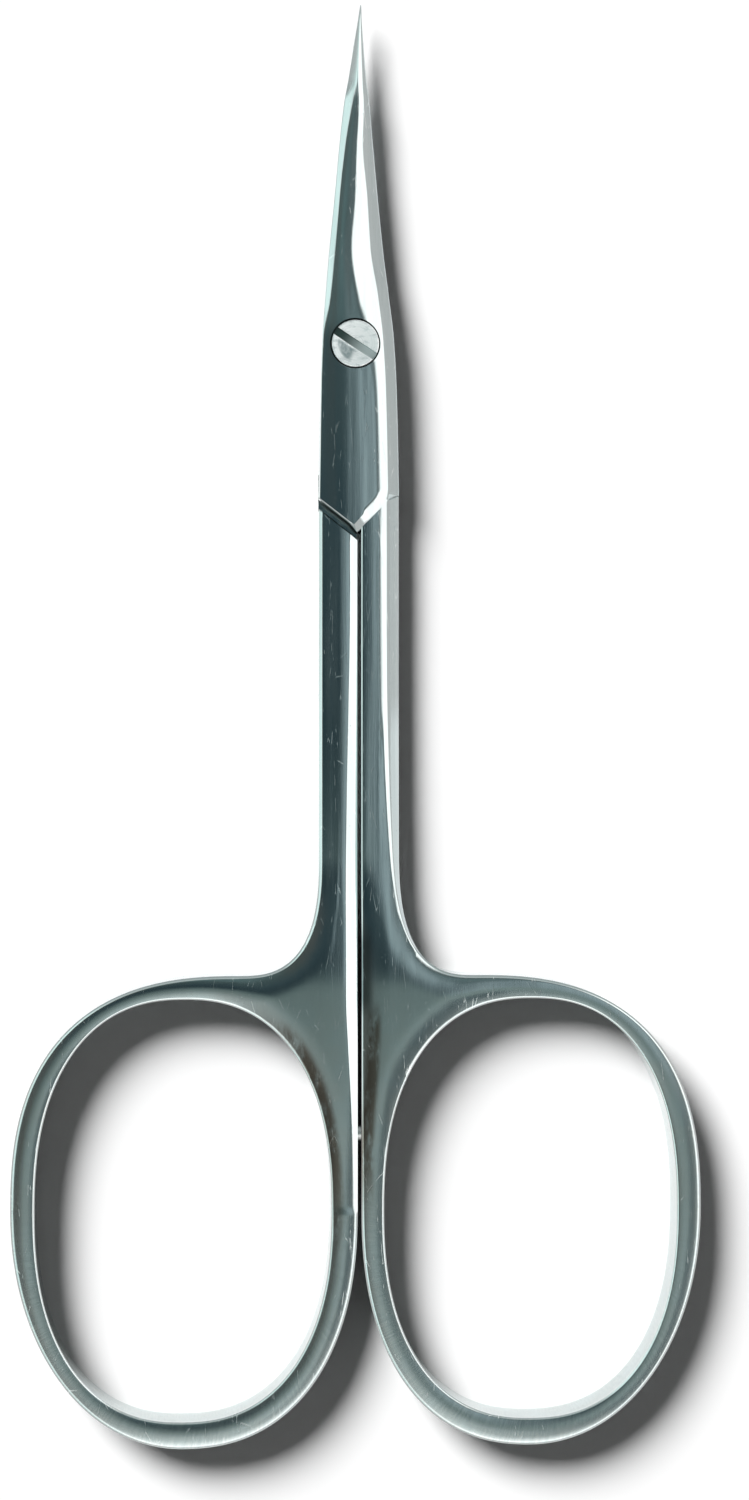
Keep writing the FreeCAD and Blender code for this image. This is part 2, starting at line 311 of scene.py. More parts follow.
def carved(body: bmesh.types.BMesh, cutter: bmesh.types.BMesh) -> bmesh.types.BMesh:
    """A solid with another solid cut out of it.

    Args:
        body: What is cut. It is freed.
        cutter: What is taken away. It is freed.

    Returns:
        A new bmesh.
    """
    holders = [linked(name, settle(mesh, name)) for mesh, name in ((body, "carved"), (cutter, "cutter"))]
    cut = holders[0].modifiers.new("cut", "BOOLEAN")
    cut.operation = "DIFFERENCE"
    cut.solver = "EXACT"
    cut.object = holders[1]
    bpy.context.view_layer.update()
    ready = holders[0].evaluated_get(bpy.context.evaluated_depsgraph_get())
    data = bpy.data.meshes.new_from_object(ready)
    result = bmesh.new()
    result.from_mesh(data)
    bpy.data.meshes.remove(data)
    for holder in holders:
        old = holder.data
        bpy.data.objects.remove(holder)
        bpy.data.meshes.remove(old)
    return result


def show(parts: Sequence[bmesh.types.BMesh], name: str, finish: bpy.types.Material,
         sharp: float) -> bpy.types.Object:
    """Make one object, in metres, of solids that are in millimetres.

    Args:
        parts: The solids. They are freed.
        name: Name of the piece.
        finish: Its material.
        sharp: Edges bent by more than this many degrees stay crisp.

    Returns:
        The object.
    """
    whole = bmesh.new()
    whole.verts.layers.float.new("edge_near")
    for number, part in enumerate(parts):
        data = settle(part, f"{name}_part_{number}")
        whole.from_mesh(data)
        bpy.data.meshes.remove(data)
    bmesh.ops.scale(whole, vec=(MM, MM, MM), verts=whole.verts)
    for face in whole.faces:
        face.smooth = True
    data = settle(whole, name)
    data.set_sharp_from_angle(angle=math.radians(sharp))
    data.materials.append(finish)
    LOG.info("%s: %d faces", name, len(data.polygons))
    return linked(name, data)


# Shader groups


class Tree:
    """A node tree under construction."""

    def __init__(self, tree: bpy.types.NodeTree) -> None:
        """Start on an emptied tree."""
        self.tree = tree
        tree.nodes.clear()

    def node(self, kind: str, /, **settings: object) -> bpy.types.Node:
        """Add a node and set its properties."""
        node = self.tree.nodes.new(kind)
        for key, value in settings.items():
            setattr(node, key, value)
        return node

    def feed(self, socket: Socket, value: object) -> None:
        """Link an output to a socket, or set the socket's own value."""
        if isinstance(value, Socket):
            self.tree.links.new(value, socket)
        else:
            socket.default_value = value

    def math(self, operation: str, *values: object) -> Socket:
        """Add a Math node and give its output."""
        node = self.node("ShaderNodeMath", operation=operation)
        for socket, value in zip(node.inputs, values):
            self.feed(socket, value)
        return node.outputs[0]

    def product(self, first: object, *others: object) -> Socket:
        """Multiply values together and give the output."""
        for other in others:
            first = self.math("MULTIPLY", first, other)
        return first

    def between(self, value: object, low: float, high: float, to_low: object = 0.0,
                to_high: object = 1.0) -> Socket:
        """Add a smooth Map Range node and give its output."""
        node = self.node("ShaderNodeMapRange", interpolation_type="SMOOTHSTEP")
        for socket, given in zip(node.inputs, (value, low, high, to_low, to_high)):
            self.feed(socket, given)
        return node.outputs[0]

    def window(self, value: object, start: Point, stop: Point) -> Socket:
        """A share that rises over start and falls over stop."""
        return self.product(self.between(value, *start), self.between(value, *stop, 1.0, 0.0))

    def mix(self, share: object, first: object, second: object, way: str = "MIX") -> Socket:
        """Add a colour Mix node and give its output."""
        node = self.node("ShaderNodeMix", data_type="RGBA", blend_type=way)
        self.feed(node.inputs[0], share)
        self.feed(node.inputs[6], first)
        self.feed(node.inputs[7], second)
        return node.outputs[2]

    def layered(self, colour: object, *layers: tuple[object, object]) -> Socket:
        """Lay colours over a first one, each by its own share."""
        for share, over in layers:
            colour = self.mix(share, colour, over)
        return colour

    def ramp(self, value: object, stops: Sequence[tuple[float, Colour]]) -> Socket:
        """Add an eased Color Ramp node with stops from 0 to 1 and give its colour."""
        node = self.node("ShaderNodeValToRGB")
        node.color_ramp.interpolation = "EASE"
        elements = node.color_ramp.elements
        for position, _ in stops[1:-1]:
            elements.new(position)
        for element, (position, colour) in zip(elements, stops):
            element.position, element.color = position, colour
        self.feed(node.inputs[0], value)
        return node.outputs[0]

    def separate(self, vector: object) -> tuple[Socket, ...]:
        """Give a vector's X, Y and Z."""
        node = self.node("ShaderNodeSeparateXYZ")
        self.feed(node.inputs[0], vector)
        return tuple(node.outputs)

    def combined(self, *parts: object) -> Socket:
        """Give the vector that has these parts."""
        node = self.node("ShaderNodeCombineXYZ")
        for socket, part in zip(node.inputs, parts):
            self.feed(socket, part)
        return node.outputs[0]

    def length(self, vector: object) -> Socket:
        """Give a vector's length."""
        node = self.node("ShaderNodeVectorMath", operation="LENGTH")
        self.feed(node.inputs[0], vector)
        return node.outputs["Value"]

    def mapped(self, vector: object, scale: Sequence[float],
               turn: Sequence[float] = (0, 0, 0),
               shift: Sequence[float] = (0, 0, 0)) -> Socket:
        """Add a Mapping node and give its output."""
        node = self.node("ShaderNodeMapping")
        self.feed(node.inputs["Vector"], vector)
        node.inputs["Scale"].default_value = scale
        node.inputs["Rotation"].default_value = turn
        node.inputs["Location"].default_value = shift
        return node.outputs[0]

    def place(self, centre: Sequence[float] = (0, 0, 0)) -> Socket:
        """The object's own coordinates in millimetres from a centre."""
        source = self.node("ShaderNodeTexCoord")
        return self.mapped(source.outputs["Object"], (1 / MM, 1 / MM, 1 / MM),
                           shift=tuple(-part for part in centre))

    def noise(self, vector: object, scale: float = 1.0, detail: float = 3.0,
              rough: float = 0.55) -> Socket:
        """Add a Noise Texture node and give its factor."""
        node = self.node("ShaderNodeTexNoise")
        self.feed(node.inputs["Vector"], vector)
        node.inputs["Scale"].default_value = scale
        node.inputs["Detail"].default_value = detail
        node.inputs["Roughness"].default_value = rough
        return node.outputs[0]

    def cells(self, vector: object, scale: float, feature: str = "F1") -> Socket:
        """Add a Voronoi Texture node and give its distance."""
        node = self.node("ShaderNodeTexVoronoi", feature=feature)
        self.feed(node.inputs["Vector"], vector)
        node.inputs["Scale"].default_value = scale
        return node.outputs["Distance"]

    def use(self, group: bpy.types.NodeTree, vector: object,
            **values: float) -> bpy.types.NodeOutputs:
        """Add a group node, set its inputs and give its outputs."""
        node = self.node("ShaderNodeGroup", node_tree=group)
        self.feed(node.inputs["Vector"], vector)
        for label, value in values.items():
            node.inputs[label].default_value = value
        return node.outputs

    def bump(self, height: object, strength: float, distance: float,
             normal: Optional[Socket] = None) -> Socket:
        """Add a Bump node and give its normal."""
        node = self.node("ShaderNodeBump")
        node.inputs["Strength"].default_value = strength
        node.inputs["Distance"].default_value = distance
        self.feed(node.inputs["Height"], height)
        if normal is not None:
            self.feed(node.inputs["Normal"], normal)
        return node.outputs["Normal"]

    def metal(self, tone: object, rough: object, normal: object) -> None:
        """Finish a material's tree with a metal surface."""
        shader = self.node("ShaderNodeBsdfPrincipled")
        shader.inputs["Metallic"].default_value = 1.0
        for label, value in (("Base Color", tone), ("Roughness", rough), ("Normal", normal)):
            self.feed(shader.inputs[label], value)
        out = self.node("ShaderNodeOutputMaterial")
        self.feed(out.inputs["Surface"], shader.outputs["BSDF"])


def new_material(name: str) -> tuple[bpy.types.Material, Tree]:
    """Start a material and its empty tree."""
    made = bpy.data.materials.new(name)
    made.use_nodes = True
    return made, Tree(made.node_tree)


def shader_group(name: str, outputs: Sequence[str], **values: float
                 ) -> tuple[Tree, bpy.types.NodeOutputs, bpy.types.NodeInputs]:
    """Start a shader node group that is fed a vector.

    Args:
        name: Name of the group.
        outputs: Names of its value outputs.
        values: Default of each value input, by name.

    Returns:
        The tree, what it is given and what it gives out.
    """
    group = bpy.data.node_groups.new(name, "ShaderNodeTree")
    group.interface.new_socket("Vector", in_out="INPUT", socket_type="NodeSocketVector")
    for label, start in values.items():
        socket = group.interface.new_socket(label, in_out="INPUT", socket_type="NodeSocketFloat")
        socket.default_value = start
    for label in outputs:
        group.interface.new_socket(label, in_out="OUTPUT", socket_type="NodeSocketFloat")
    tree = Tree(group)
    return tree, tree.node("NodeGroupInput").outputs, tree.node("NodeGroupOutput").inputs


def buffing_group() -> bpy.types.NodeTree:
    """Fine grain and broad streaks that a buffing wheel leaves along Y."""
    tree, given, out = shader_group("buffing", ("Grain", "Streak", "Ripple"))
    where = given["Vector"]
    broad = tree.noise(tree.mapped(where, (2.2, 0.09, 1.4)), 1.0, 3.0, 0.5)
    tree.feed(out["Grain"], tree.noise(tree.mapped(where, (26, 0.5, 14)), 1.0, 4.0, 0.6))
    tree.feed(out["Streak"], tree.between(broad, 0.34, 0.66))
    tree.feed(out["Ripple"], tree.noise(tree.mapped(where, (0.85, 0.035, 0.5)), 1.0, 1.5, 0.4))
    return tree.tree


def cross_brush_group() -> bpy.types.NodeTree:
    """Short brush lines that run across a ring's band, towards its centre."""
    tree, given, out = shader_group("cross_brush", ("Lines", "Patches"), Lean=0.0)
    x, y, z = tree.separate(given["Vector"])
    reach = tree.length(given["Vector"])
    leaned = tree.math("MULTIPLY_ADD", reach, given["Lean"], tree.math("ARCTAN2", y, x))
    rings = tree.combined(tree.product(leaned, 150.0), tree.product(reach, 0.7), z)
    tree.feed(out["Lines"], tree.noise(rings, 1.0, 4.0, 0.65))
    tree.feed(out["Patches"], tree.between(tree.noise(given["Vector"], 0.55, 2.0, 0.5), 0.35, 0.62))
    return tree.tree


def handling_group() -> bpy.types.NodeTree:
    """Stray hairline scratches and tiny specks from use."""
    tree, given, out = shader_group("handling", ("Scratches", "Specks"), Amount=0.5)
    where = given["Vector"]
    marks = 0.0
    for turn, seed in ((0.35, 3.0), (1.2, 11.0), (2.3, 23.0)):
        bent = tree.mapped(where, (0.9, 0.16, 0.9), (0, 0, turn), (seed, seed, 0))
        line = tree.between(tree.cells(bent, 1.1, "DISTANCE_TO_EDGE"), 0.0, 0.011, 1.0, 0.0)
        clouds = tree.noise(tree.mapped(where, (1, 1, 1), shift=(seed, 0, 0)), 0.8)
        marks = tree.math("MAXIMUM", marks, tree.product(line, tree.between(clouds, 0.56, 0.66)))
    dot = tree.between(tree.cells(where, 1.9), 0.03, 0.075, 1.0, 0.0)
    some = tree.between(tree.noise(where, 0.45, 2.0), 0.52, 0.64)
    tree.feed(out["Scratches"], tree.product(marks, given["Amount"]))
    tree.feed(out["Specks"], tree.product(dot, some, given["Amount"]))
    return tree.tree


def turning_group() -> bpy.types.NodeTree:
    """The rings a lathe leaves round a Z axis, and smears on them."""
    tree, given, out = shader_group("turning", ("Rings", "Smears"))
    x, y, z = tree.separate(given["Vector"])
    rings = tree.combined(tree.product(tree.length(tree.combined(x, y)), 17.0), z)
    smear = tree.noise(tree.mapped(given["Vector"], (1.7, 3.4, 1), (0, 0, 0.5)), 1.0, 4.0)
    tree.feed(out["Rings"], tree.noise(rings, 1.0, 3.0, 0.6))
    tree.feed(out["Smears"], tree.between(smear, 0.45, 0.68))
    return tree.tree


# Finishes


@dataclass(frozen=True)
class SteelFinish:
    """Polished steel of one half.

    Colours are linear and lengths in millimetres. Roughness runs from the buffed flats
    to the brushed bows.
    """

    name: str
    bow_centre: Point
    half_opening: Point
    stain_and_painted_reflection_at_gap: bool
    gap_line: float = 0.27
    mid_level: float = 1.6
    lean: float = 0.02
    handling: float = 0.6
    roughness: float = 0.10
    brushed_roughness: float = 0.13
    bright: Colour = (0.605, 0.675, 0.675, 1)
    dull: Colour = (0.50, 0.57, 0.57, 1)
    warm: Colour = (0.64, 0.63, 0.58, 1)
    scratch: Colour = (0.86, 0.89, 0.885, 1)
    speck: Colour = (0.10, 0.115, 0.11, 1)
    stain: Colour = (0.20, 0.155, 0.115, 1)
    # Painted dark reflection beside the gap on the front half's shank
    painted_dark_reflection: Colour = (0.15, 0.21, 0.22, 1)
    # Painted shade in the ring of the screw's recess
    recess_shade: Colour = (0.03, 0.035, 0.035, 1)
    # Painted shade in the step beside the plate's end
    painted_gap_shade: Colour = (0.015, 0.03, 0.03, 1)

    def stained(self, tree: Tree, bow: Socket, down: Socket) -> Socket:
        """Mask of the brown polishing residue in the web, beside the finger opening.

        Args:
            tree: The material's tree.
            bow: Place from the opening's middle.
            down: Place along the half.

        Returns:
            The mask.
        """
        x, y, _ = tree.separate(bow)
        if self.stain_and_painted_reflection_at_gap:
            away = tree.math("ADD", tree.between(down, -42.0, -51.0, 0.0, 0.45),
                             tree.math("ADD", x, self.bow_centre[0]))
            band = tree.window(away, (0.6, 0.95), (1.35, 1.75))
            span = tree.product(tree.between(down, -40.5, -42.5), tree.between(down, -55.0, -50.0))
        else:
            parts = [tree.math("POWER", tree.math("ABSOLUTE", tree.math("DIVIDE", part, half)),
                               OPENING_POWER) for part, half in zip((x, y), self.half_opening)]
            reach = tree.math("POWER", tree.math("ADD", *parts), 1 / OPENING_POWER)
            band = tree.product(tree.window(reach, (1.0, 1.02), (1.05, 1.10)),
                                tree.between(x, 3.0, 5.5))
            span = tree.product(tree.between(down, -41.5, -43.5), tree.between(down, -60.0, -51.0))
        smoke = tree.noise(tree.mapped(bow, (1.5, 0.45, 0.5)), 1.0, 5.0, 0.7)
        return tree.product(band, span, tree.between(smoke, 0.30, 0.56))

    def shade_beside_plate(self, tree: Tree, place: Sequence[Socket]) -> Socket:
        """Mask of the painted shade in the dark step between the plate's end and the other half's
        shoulder.
        """
        across, down, height = place
        level = tree.math("SUBTRACT", height, self.mid_level)
        aside = tree.product(tree.math("SUBTRACT", across, self.gap_line),
                             tree.math("SIGN", level))
        along = tree.math("MULTIPLY_ADD", tree.math("ADD", aside, 2.5), 0.771, down)
        return tree.product(tree.window(along, (-10.40, -10.32), (-9.52, -9.44)),
                            tree.between(aside, 0.05, 0.15, 1.0, 0.0),
                            tree.between(tree.math("ABSOLUTE", level), 0.80, 0.98, 1.0, 0.0))

    def material(self, groups: dict[str, bpy.types.NodeTree]) -> bpy.types.Material:
        """Build the material.

        Args:
            groups: The shader groups by name.

        Returns:
            The material.
        """
        made, tree = new_material(self.name)
        where, bow = tree.place(), tree.place((*self.bow_centre, 0))
        buffing = tree.use(groups["buffing"], where)
        brush = tree.use(groups["cross_brush"], bow, Lean=self.lean)
        lines, patches = brush["Lines"], brush["Patches"]
        handling = tree.use(groups["handling"], where, Amount=self.handling)
        scratches, specks = handling["Scratches"], handling["Specks"]
        across, down, height = tree.separate(where)
        bow_share = tree.between(down, -36.0, -46.0)
        near = tree.node("ShaderNodeAttribute", attribute_name="edge_near")
        wear = tree.between(near.outputs["Fac"], 0.2, 1.0)
        streak = tree.product(buffing["Streak"], tree.between(down, -35.0, -41.0, 1.0, 0.25))
        brushing = tree.product(tree.between(down, -44.0, -60.0),
                                tree.between(patches, 0.0, 1.0, 0.75, 1.0))
        # Mask of the painted shade in the step beside the plate's end
        step = self.shade_beside_plate(tree, (across, down, height))
        # The ring round the screw's recess, which takes painted shade
        ring = tree.window(tree.length(tree.combined(across, down)), (1.40, 1.46), (1.564, 1.575))

        tone = tree.layered(
            self.bright,
            (tree.product(streak, 0.55), self.dull),
            (tree.product(bow_share, patches, 0.22), self.warm),
            (tree.product(brushing, tree.between(lines, 0.4, 0.62, 0.0, 0.7)), self.dull),
            (tree.math("MAXIMUM", tree.product(wear, 0.2), scratches), self.scratch),
            (specks, self.speck),
            (tree.product(self.stained(tree, bow, down), 0.85), self.stain))
        if self.stain_and_painted_reflection_at_gap:
            # Painted dark reflection: a dark patch beside the gap, above the web
            painted_dark_reflection = tree.product(tree.between(down, -35.5, -37.5), tree.between(down, -42.2, -40.4),
                                  tree.between(across, 0.75, 1.25, 1.0, 0.0), 0.8)
            tone = tree.mix(painted_dark_reflection, tone, self.painted_dark_reflection)
        # Painted shade over the recess ring and over the step beside the plate's end
        tone = tree.layered(tone, (tree.product(ring, 0.9), self.recess_shade),
                            (tree.product(step, 0.96), self.painted_gap_shade))

        rough = self.roughness
        for share, more in ((bow_share, 0.05), (brushing, self.brushed_roughness - self.roughness),
                            (streak, 0.05), (tree.math("MAXIMUM", scratches, specks), 0.22),
                            (step, 0.5)):
            rough = tree.math("MULTIPLY_ADD", share, more, rough)

        relief = tree.product(buffing["Grain"], tree.between(brushing, 0.0, 1.0, 0.35, 0.12))
        relief = tree.math("MULTIPLY_ADD", lines, tree.product(brushing, 0.45), relief)
        relief = tree.math("MULTIPLY_ADD", scratches, -0.8, relief)
        ripple = tree.product(buffing["Ripple"], tree.between(down, -34.0, -40.0, 1.0, 0.12))
        tree.metal(tone, rough, tree.bump(relief, 0.30, 0.012 * MM,
                                          tree.bump(ripple, 1.0, 0.03 * MM)))
        return made


@dataclass(frozen=True)
class TurnedFinish:
    """Steel with a lathe-turned face, and with a screw's slot, painted shade beside it and in it, if
    slot_level is given.
    """

    name: str
    bright: Colour
    dull: Colour
    roughness: float
    centre: tuple[float, float, float] = (0.0, 0.0, 0.0)
    slot_level: float = 0.0
    slot_turn: float = 0.0
    # Painted shade on one side of the screw head
    painted_side_shade: Colour = (0.22, 0.29, 0.30, 1)
    # Painted shade in the slot, from its dark end to its lighter end
    slot_shaded_end: Colour = (0.055, 0.085, 0.08, 1)
    slot_lit_end: Colour = (0.50, 0.57, 0.57, 1)

    def slotted(self, tree: Tree, where: Socket, tone: Socket) -> Socket:
        """The tone with painted shade on one side of the slot, and painted shade in the slot that
        lightens along it.

        Args:
            tree: The material's tree.
            where: Place from the screw's axis.
            tone: The tone so far.

        Returns:
            The new tone.
        """
        along, across, up = tree.separate(tree.mapped(where, (1, 1, 1), (0, 0, -self.slot_turn)))
        reach = tree.length(tree.combined(along, across))
        # Painted shade on one side of the slot, towards one end
        cloud = tree.noise(tree.mapped(where, (2.6, 1.9, 1), (0, 0, 0.4), (4, 1, 0)), 1.0, 3.0)
        painted_side_shade = tree.product(tree.between(across, -0.30, -0.42),
                              tree.between(reach, 0.98, 1.16, 1.0, 0.0),
                              tree.between(along, 0.05, 0.45, 1.0, 0.0),
                              tree.between(cloud, 0.30, 0.60, 0.45, 1.0), 0.85)
        # Painted shade in the slot: dark at one end, lighter towards the other
        deep = tree.window(up, (2.3, 2.5), (self.slot_level, self.slot_level + 0.05))
        floor = tree.mix(tree.between(along, -1.1, 1.0), self.slot_shaded_end, self.slot_lit_end)
        return tree.layered(tone, (painted_side_shade, self.painted_side_shade), (deep, floor))

    def material(self, groups: dict[str, bpy.types.NodeTree]) -> bpy.types.Material:
        """Build the material.

        Args:
            groups: The shader groups by name.

        Returns:
            The material.
        """
        made, tree = new_material(self.name)
        where = tree.place(self.centre)
        turning = tree.use(groups["turning"], where)
        handling = tree.use(groups["handling"], where, Amount=0.4)
        rings, smears = turning["Rings"], turning["Smears"]
        tone = tree.layered(self.bright, (tree.product(smears, 0.45), self.dull),
                            (tree.between(rings, 0.45, 0.7, 0.0, 0.25), self.dull))
        if self.slot_level:
            tone = self.slotted(tree, where, tone)
        rough = tree.math("MULTIPLY_ADD", smears, 0.10, self.roughness)
        rough = tree.math("MULTIPLY_ADD", handling["Scratches"], 0.2, rough)
        tree.metal(tone, rough, tree.bump(rings, 0.35, 0.02 * MM))
        return made


# The halves


@dataclass(frozen=True)
class EdgeRow:
    """How the edges at one place of an outline fall away, above and below."""

    top_width: float
    top_drop: float
    top_facets: float
    floor_width: float
    floor_drop: float
    floor_facets: float
    top_swell: float
    floor_swell: float


class Brink:
    """A run of the outline, to measure how far a place is from it."""

    def __init__(self, points: Sequence[Point], rows: Sequence[EdgeRow], closed: bool) -> None:
        """Keep the run's points and the form of the edge at each."""
        self.points = list(points)
        self.rows = list(rows)
        self.closed = closed
        self.tree = KDTree(len(self.points))
        for number, point in enumerate(self.points):
            self.tree.insert((*point, 0), number)
        self.tree.balance()

    def nearest(self, place: Point) -> tuple[float, EdgeRow]:
        """The distance from a place to the run, and the edge's form there."""
        _, number, away = self.tree.find((*place, 0))
        best = away
        for other in (number - 1, number + 1):
            if self.closed:
                other %= len(self.points)
            elif not 0 <= other < len(self.points):
                continue
            a, b = self.points[number], self.points[other]
            run = between_points(a, b)
            square = run[0] ** 2 + run[1] ** 2
            if square < 1e-12:
                continue
            share = ((place[0] - a[0]) * run[0] + (place[1] - a[1]) * run[1]) / square
            foot = blend_point(a, b, min(max(share, 0.0), 1.0))
            best = min(best, math.dist(place, foot))
        return best, self.rows[number]


class Ledge(Enum):
    """Where a slice stands at the shoulder that the other half's plate lies over."""

    NONE = "none"
    FOOT = "foot"
    SHELF = "shelf"


@dataclass
class Slice:
    """One cut across the shank or the bow, from its outer side to its inner side.

    Top and floor hold the shares of its length at which its points stand.
    """

    outer: Point
    inner: Point
    top: list[float]
    floor: list[float]
    ledge: Ledge = Ledge.NONE


# Where the points of a slice crowd, as shares of the width of the edge there
GAP_MARKS = (0.0, 0.02, 0.05, 0.09, 0.13)
FACET_MARKS = (0, 0.06, 0.15, 0.3, 0.5, 0.62, 0.69, 0.76, 0.88, 0.96, 1.04, 1.15)
BEVEL_MARKS = (0, 0.04, 0.15, 0.4, 0.7, 0.9, 0.97, 1.03, 1.12)
SIDE_MARKS = (0, 0.1, 0.25, 0.45, 0.7, 1, 1.2)
BAND_MARKS = (0.0, 0.06, 0.15, 0.3, 0.5, 0.75, 1.0, 1.15)
# Where the points stand across the plate's crowned face, which bends most in its middle
CROWN_MARKS = (0.10, 0.20, 0.30, 0.40, 0.48, 0.534, 0.58, 0.66, 0.76, 0.88)
# Slices along the shank, the neck, the web, the bow's three quarters and the crown's end
SHANK_SLICES, NECK_SLICES, WEB_SLICES = 46, 18, 26
BOW_SLICES = (88, 84, 120)
CROWN_SLICES = 44
PLATE_SLICES, BLADE_SLICES = 15, 120
# Bearing from the opening's middle at which the shank's last slice meets the bow
JOIN = 134.7


@dataclass
class Half:
    """One half of the scissors, made face up with its gap side towards -X.

    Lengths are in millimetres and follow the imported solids.
    """

    hand: Hand
    rim_inner: float
    tip_lean: float
    face_tilt: float = 0.0
    arch: float = 0.19
    edge: Point = (0.12, 0.078)
    opening_edge: Point = (0.08, 0.052)
    gap_line: float = 0.27
    gap_half: float = 0.12
    thick: float = 3.2
    shank_top: float = 2.85
    shank_floor: float = 0.35
    plate_half: float = 2.5
    plate_floor: float = 1.615
    plate_point: float = 11.25
    blade_length: float = 21.33
    opening: Point = (18.3, 26.1)
    rim_outer: float = 1.5
    rim_foot: float = 1.65
    rim_crown: float = 1.45
    crown: float = -39.2
    neck_rise: float = 7.8
    bow_powers: tuple[float, float, float] = (2.3, 2.05, 2.53)
    shoulder: Point = (-12.085, -10.25)
    end_left: float = -9.6
    end_corner: float = -9.25
    end_right: float = -9.4
    plate_top: float = -3.6
    # Place along, then shares of the half width and height: width, back, inset, crest,
    # ridge, facet, its height, edge
    stations: tuple[tuple[float, ...], ...] = (
        (-1.00, 1.000, 0.96, 0.04, 1.00, 0.430, 0.700, 0.850, 0.480),
        (-0.30, 0.957, 0.96, 0.04, 1.00, 0.400, 0.690, 0.847, 0.480),
        (0.00, 0.904, 0.96, 0.05, 1.00, 0.280, 0.670, 0.822, 0.473),
        (0.14, 0.800, 0.85, 0.18, 0.94, -0.030, 0.630, 0.715, 0.390),
        (0.29, 0.670, 0.73, 0.21, 0.83, -0.195, 0.500, 0.590, 0.200),
        (0.425, 0.554, 0.62, 0.225, 0.71, -0.050, 0.490, 0.520, 0.190),
        (0.58, 0.432, 0.48, 0.33, 0.58, 0.050, 0.370, 0.475, 0.165),
        (0.718, 0.310, 0.317, 0.65, 0.46, 0.160, 0.530, 0.390, 0.220),
        (0.783, 0.225, 0.165, 0.95, 0.37, 0.050, 0.550, 0.300, 0.180),
        (0.894, 0.112, 0.11, 0.96, 0.22, 0.000, 0.500, 0.185, 0.120),
        (0.953, 0.054, 0.088, 0.96, 0.14, 0.000, 0.500, 0.120, 0.080),
        (1.00, 0.016, 0.06, 0.97, 0.08, 0.000, 0.500, 0.065, 0.045),
    )
    slices: list[Slice] = field(default_factory=list)

    def __post_init__(self) -> None:
        """Work out the places that several methods use."""
        self.side = self.gap_line + self.gap_half
        self.far_side = self.gap_line + self.plate_half
        self.half_opening = (self.opening[0] / 2, self.opening[1] / 2)
        self.middle = (self.side + self.rim_inner + self.half_opening[0],
                       self.crown - self.rim_crown - self.half_opening[1])
        self.outer = self.middle[0] + self.half_opening[0] + self.rim_outer
        self.crown_x = self.middle[0] - self.opening[0] * 0.185
        self.neck = self.crown + self.neck_rise
        self.white = steady([(-38.0, 0.20), (-35.0, 0.28), (-31.6, 0.58), (-28.4, 0.80),
                             (-25.0, 0.96), (-21.5, 1.10), (-18.0, 1.13)])
        self.fall_side = steady([(-38.0, 0.24), (-34.5, 0.34), (-31.0, 0.56), (-25.0, 0.74),
                                 (-18.0, 0.79)])
        self.drift = steady([(-0.6, 0.0), (-0.3, -0.1), (0.0, -0.35), (0.15, -0.8), (0.29, -1.1),
                             (0.58, -1.05), (0.72, -0.85), (0.85, -0.4), (1.0, 0.0)])
        self.bevel = steady([(-61.0, 0.12), (-57.0, 0.19), (-53.0, 0.27), (-49.0, 0.33),
                             (-46.5, 0.44), (-43.5, 0.60), (-40.5, 0.72), (-34.5, 0.72),
                             (-28.5, 0.66), (-22.0, 0.54), (-16.0, 0.45), (-12.0, 0.44)])

    def neck_point(self, degrees: float) -> Point:
        """A point of the inward curve from the shank's side (0) to the crown (90)."""
        reach = (self.crown_x - self.far_side, self.neck_rise)
        left, low = oval((0, 0), reach, 2.8, degrees)
        return (self.crown_x - left, self.neck - low)

    def opening_point(self, degrees: float) -> Point:
        """The point of the finger opening seen at an angle from its middle."""
        cosine, sine = math.cos(math.radians(degrees)), math.sin(math.radians(degrees))
        reach = (abs(cosine / self.half_opening[0]) ** OPENING_POWER
                 + abs(sine / self.half_opening[1]) ** OPENING_POWER) ** (-1 / OPENING_POWER)
        return (self.middle[0] + cosine * reach, self.middle[1] + sine * reach)

    def bearing(self, point: Point) -> float:
        """The angle from the opening's middle to a point, in degrees from 0 to 360."""
        return math.degrees(math.atan2(point[1] - self.middle[1], point[0] - self.middle[0])) % 360

    def towards_bow(self, y: float) -> float:
        """How much a place is like the bow, from 0 on the shank to 1 below the neck."""
        return ease((-31.0 - y) / 8.0)

    def swelling(self, y: float) -> float:
        """How far the broad soft shoulder beside an edge falls."""
        return blend(0.018, 0.13, self.towards_bow(y))

    def strip_row(self, place: Point) -> EdgeRow:
        """The edges on the shank's outer side and along the neck."""
        y = place[1]
        share = ease((y + 38.8) / 6.3)
        narrow = ease((y + 39.3) / 5.5)
        soft = blend(self.swelling(y), self.arch, self.arched(place))
        width, drop = self.edge
        return EdgeRow(blend(width, self.white(y), narrow),
                       blend(drop, self.fall_side(y), narrow), share,
                       blend(width, 0.16, share), blend(drop, 0.10, share), 0.0, soft, soft)

    def gap_row(self, y: float) -> EdgeRow:
        """The edges on the gap side of the shank and bow."""
        share = ease((y + 53.0) / 8.0)
        arch = blend(self.arch, self.swelling(y), ease((y + 58.0) / 8.0))
        width, drop = self.edge
        bevel_drop = blend(0.32, 0.50, share) * self.bevel(y)
        return EdgeRow(blend(width, 0.06, share), blend(drop, 0.04, share), 0.0,
                       self.bevel(y), blend(drop, bevel_drop, ease((y + 61.0) / 8.0)),
                       ease((y + 62.0) / 10.0), arch, blend(arch, 0.02, share))

    def arched(self, place: Point) -> float:
        """How strongly the band is arched at a place, from 0 in the web to 1."""
        return max(ease((place[0] - 5.5) / 4.0), ease((-50.0 - place[1]) / 8.0))

    def ring_row(self, place: Point, edge: Point) -> EdgeRow:
        """The edges round the outside of the bow or round the finger opening."""
        arch = blend(0.13, self.arch, self.arched(place))
        return EdgeRow(*edge, 0.0, *edge, 0.0, arch, arch)

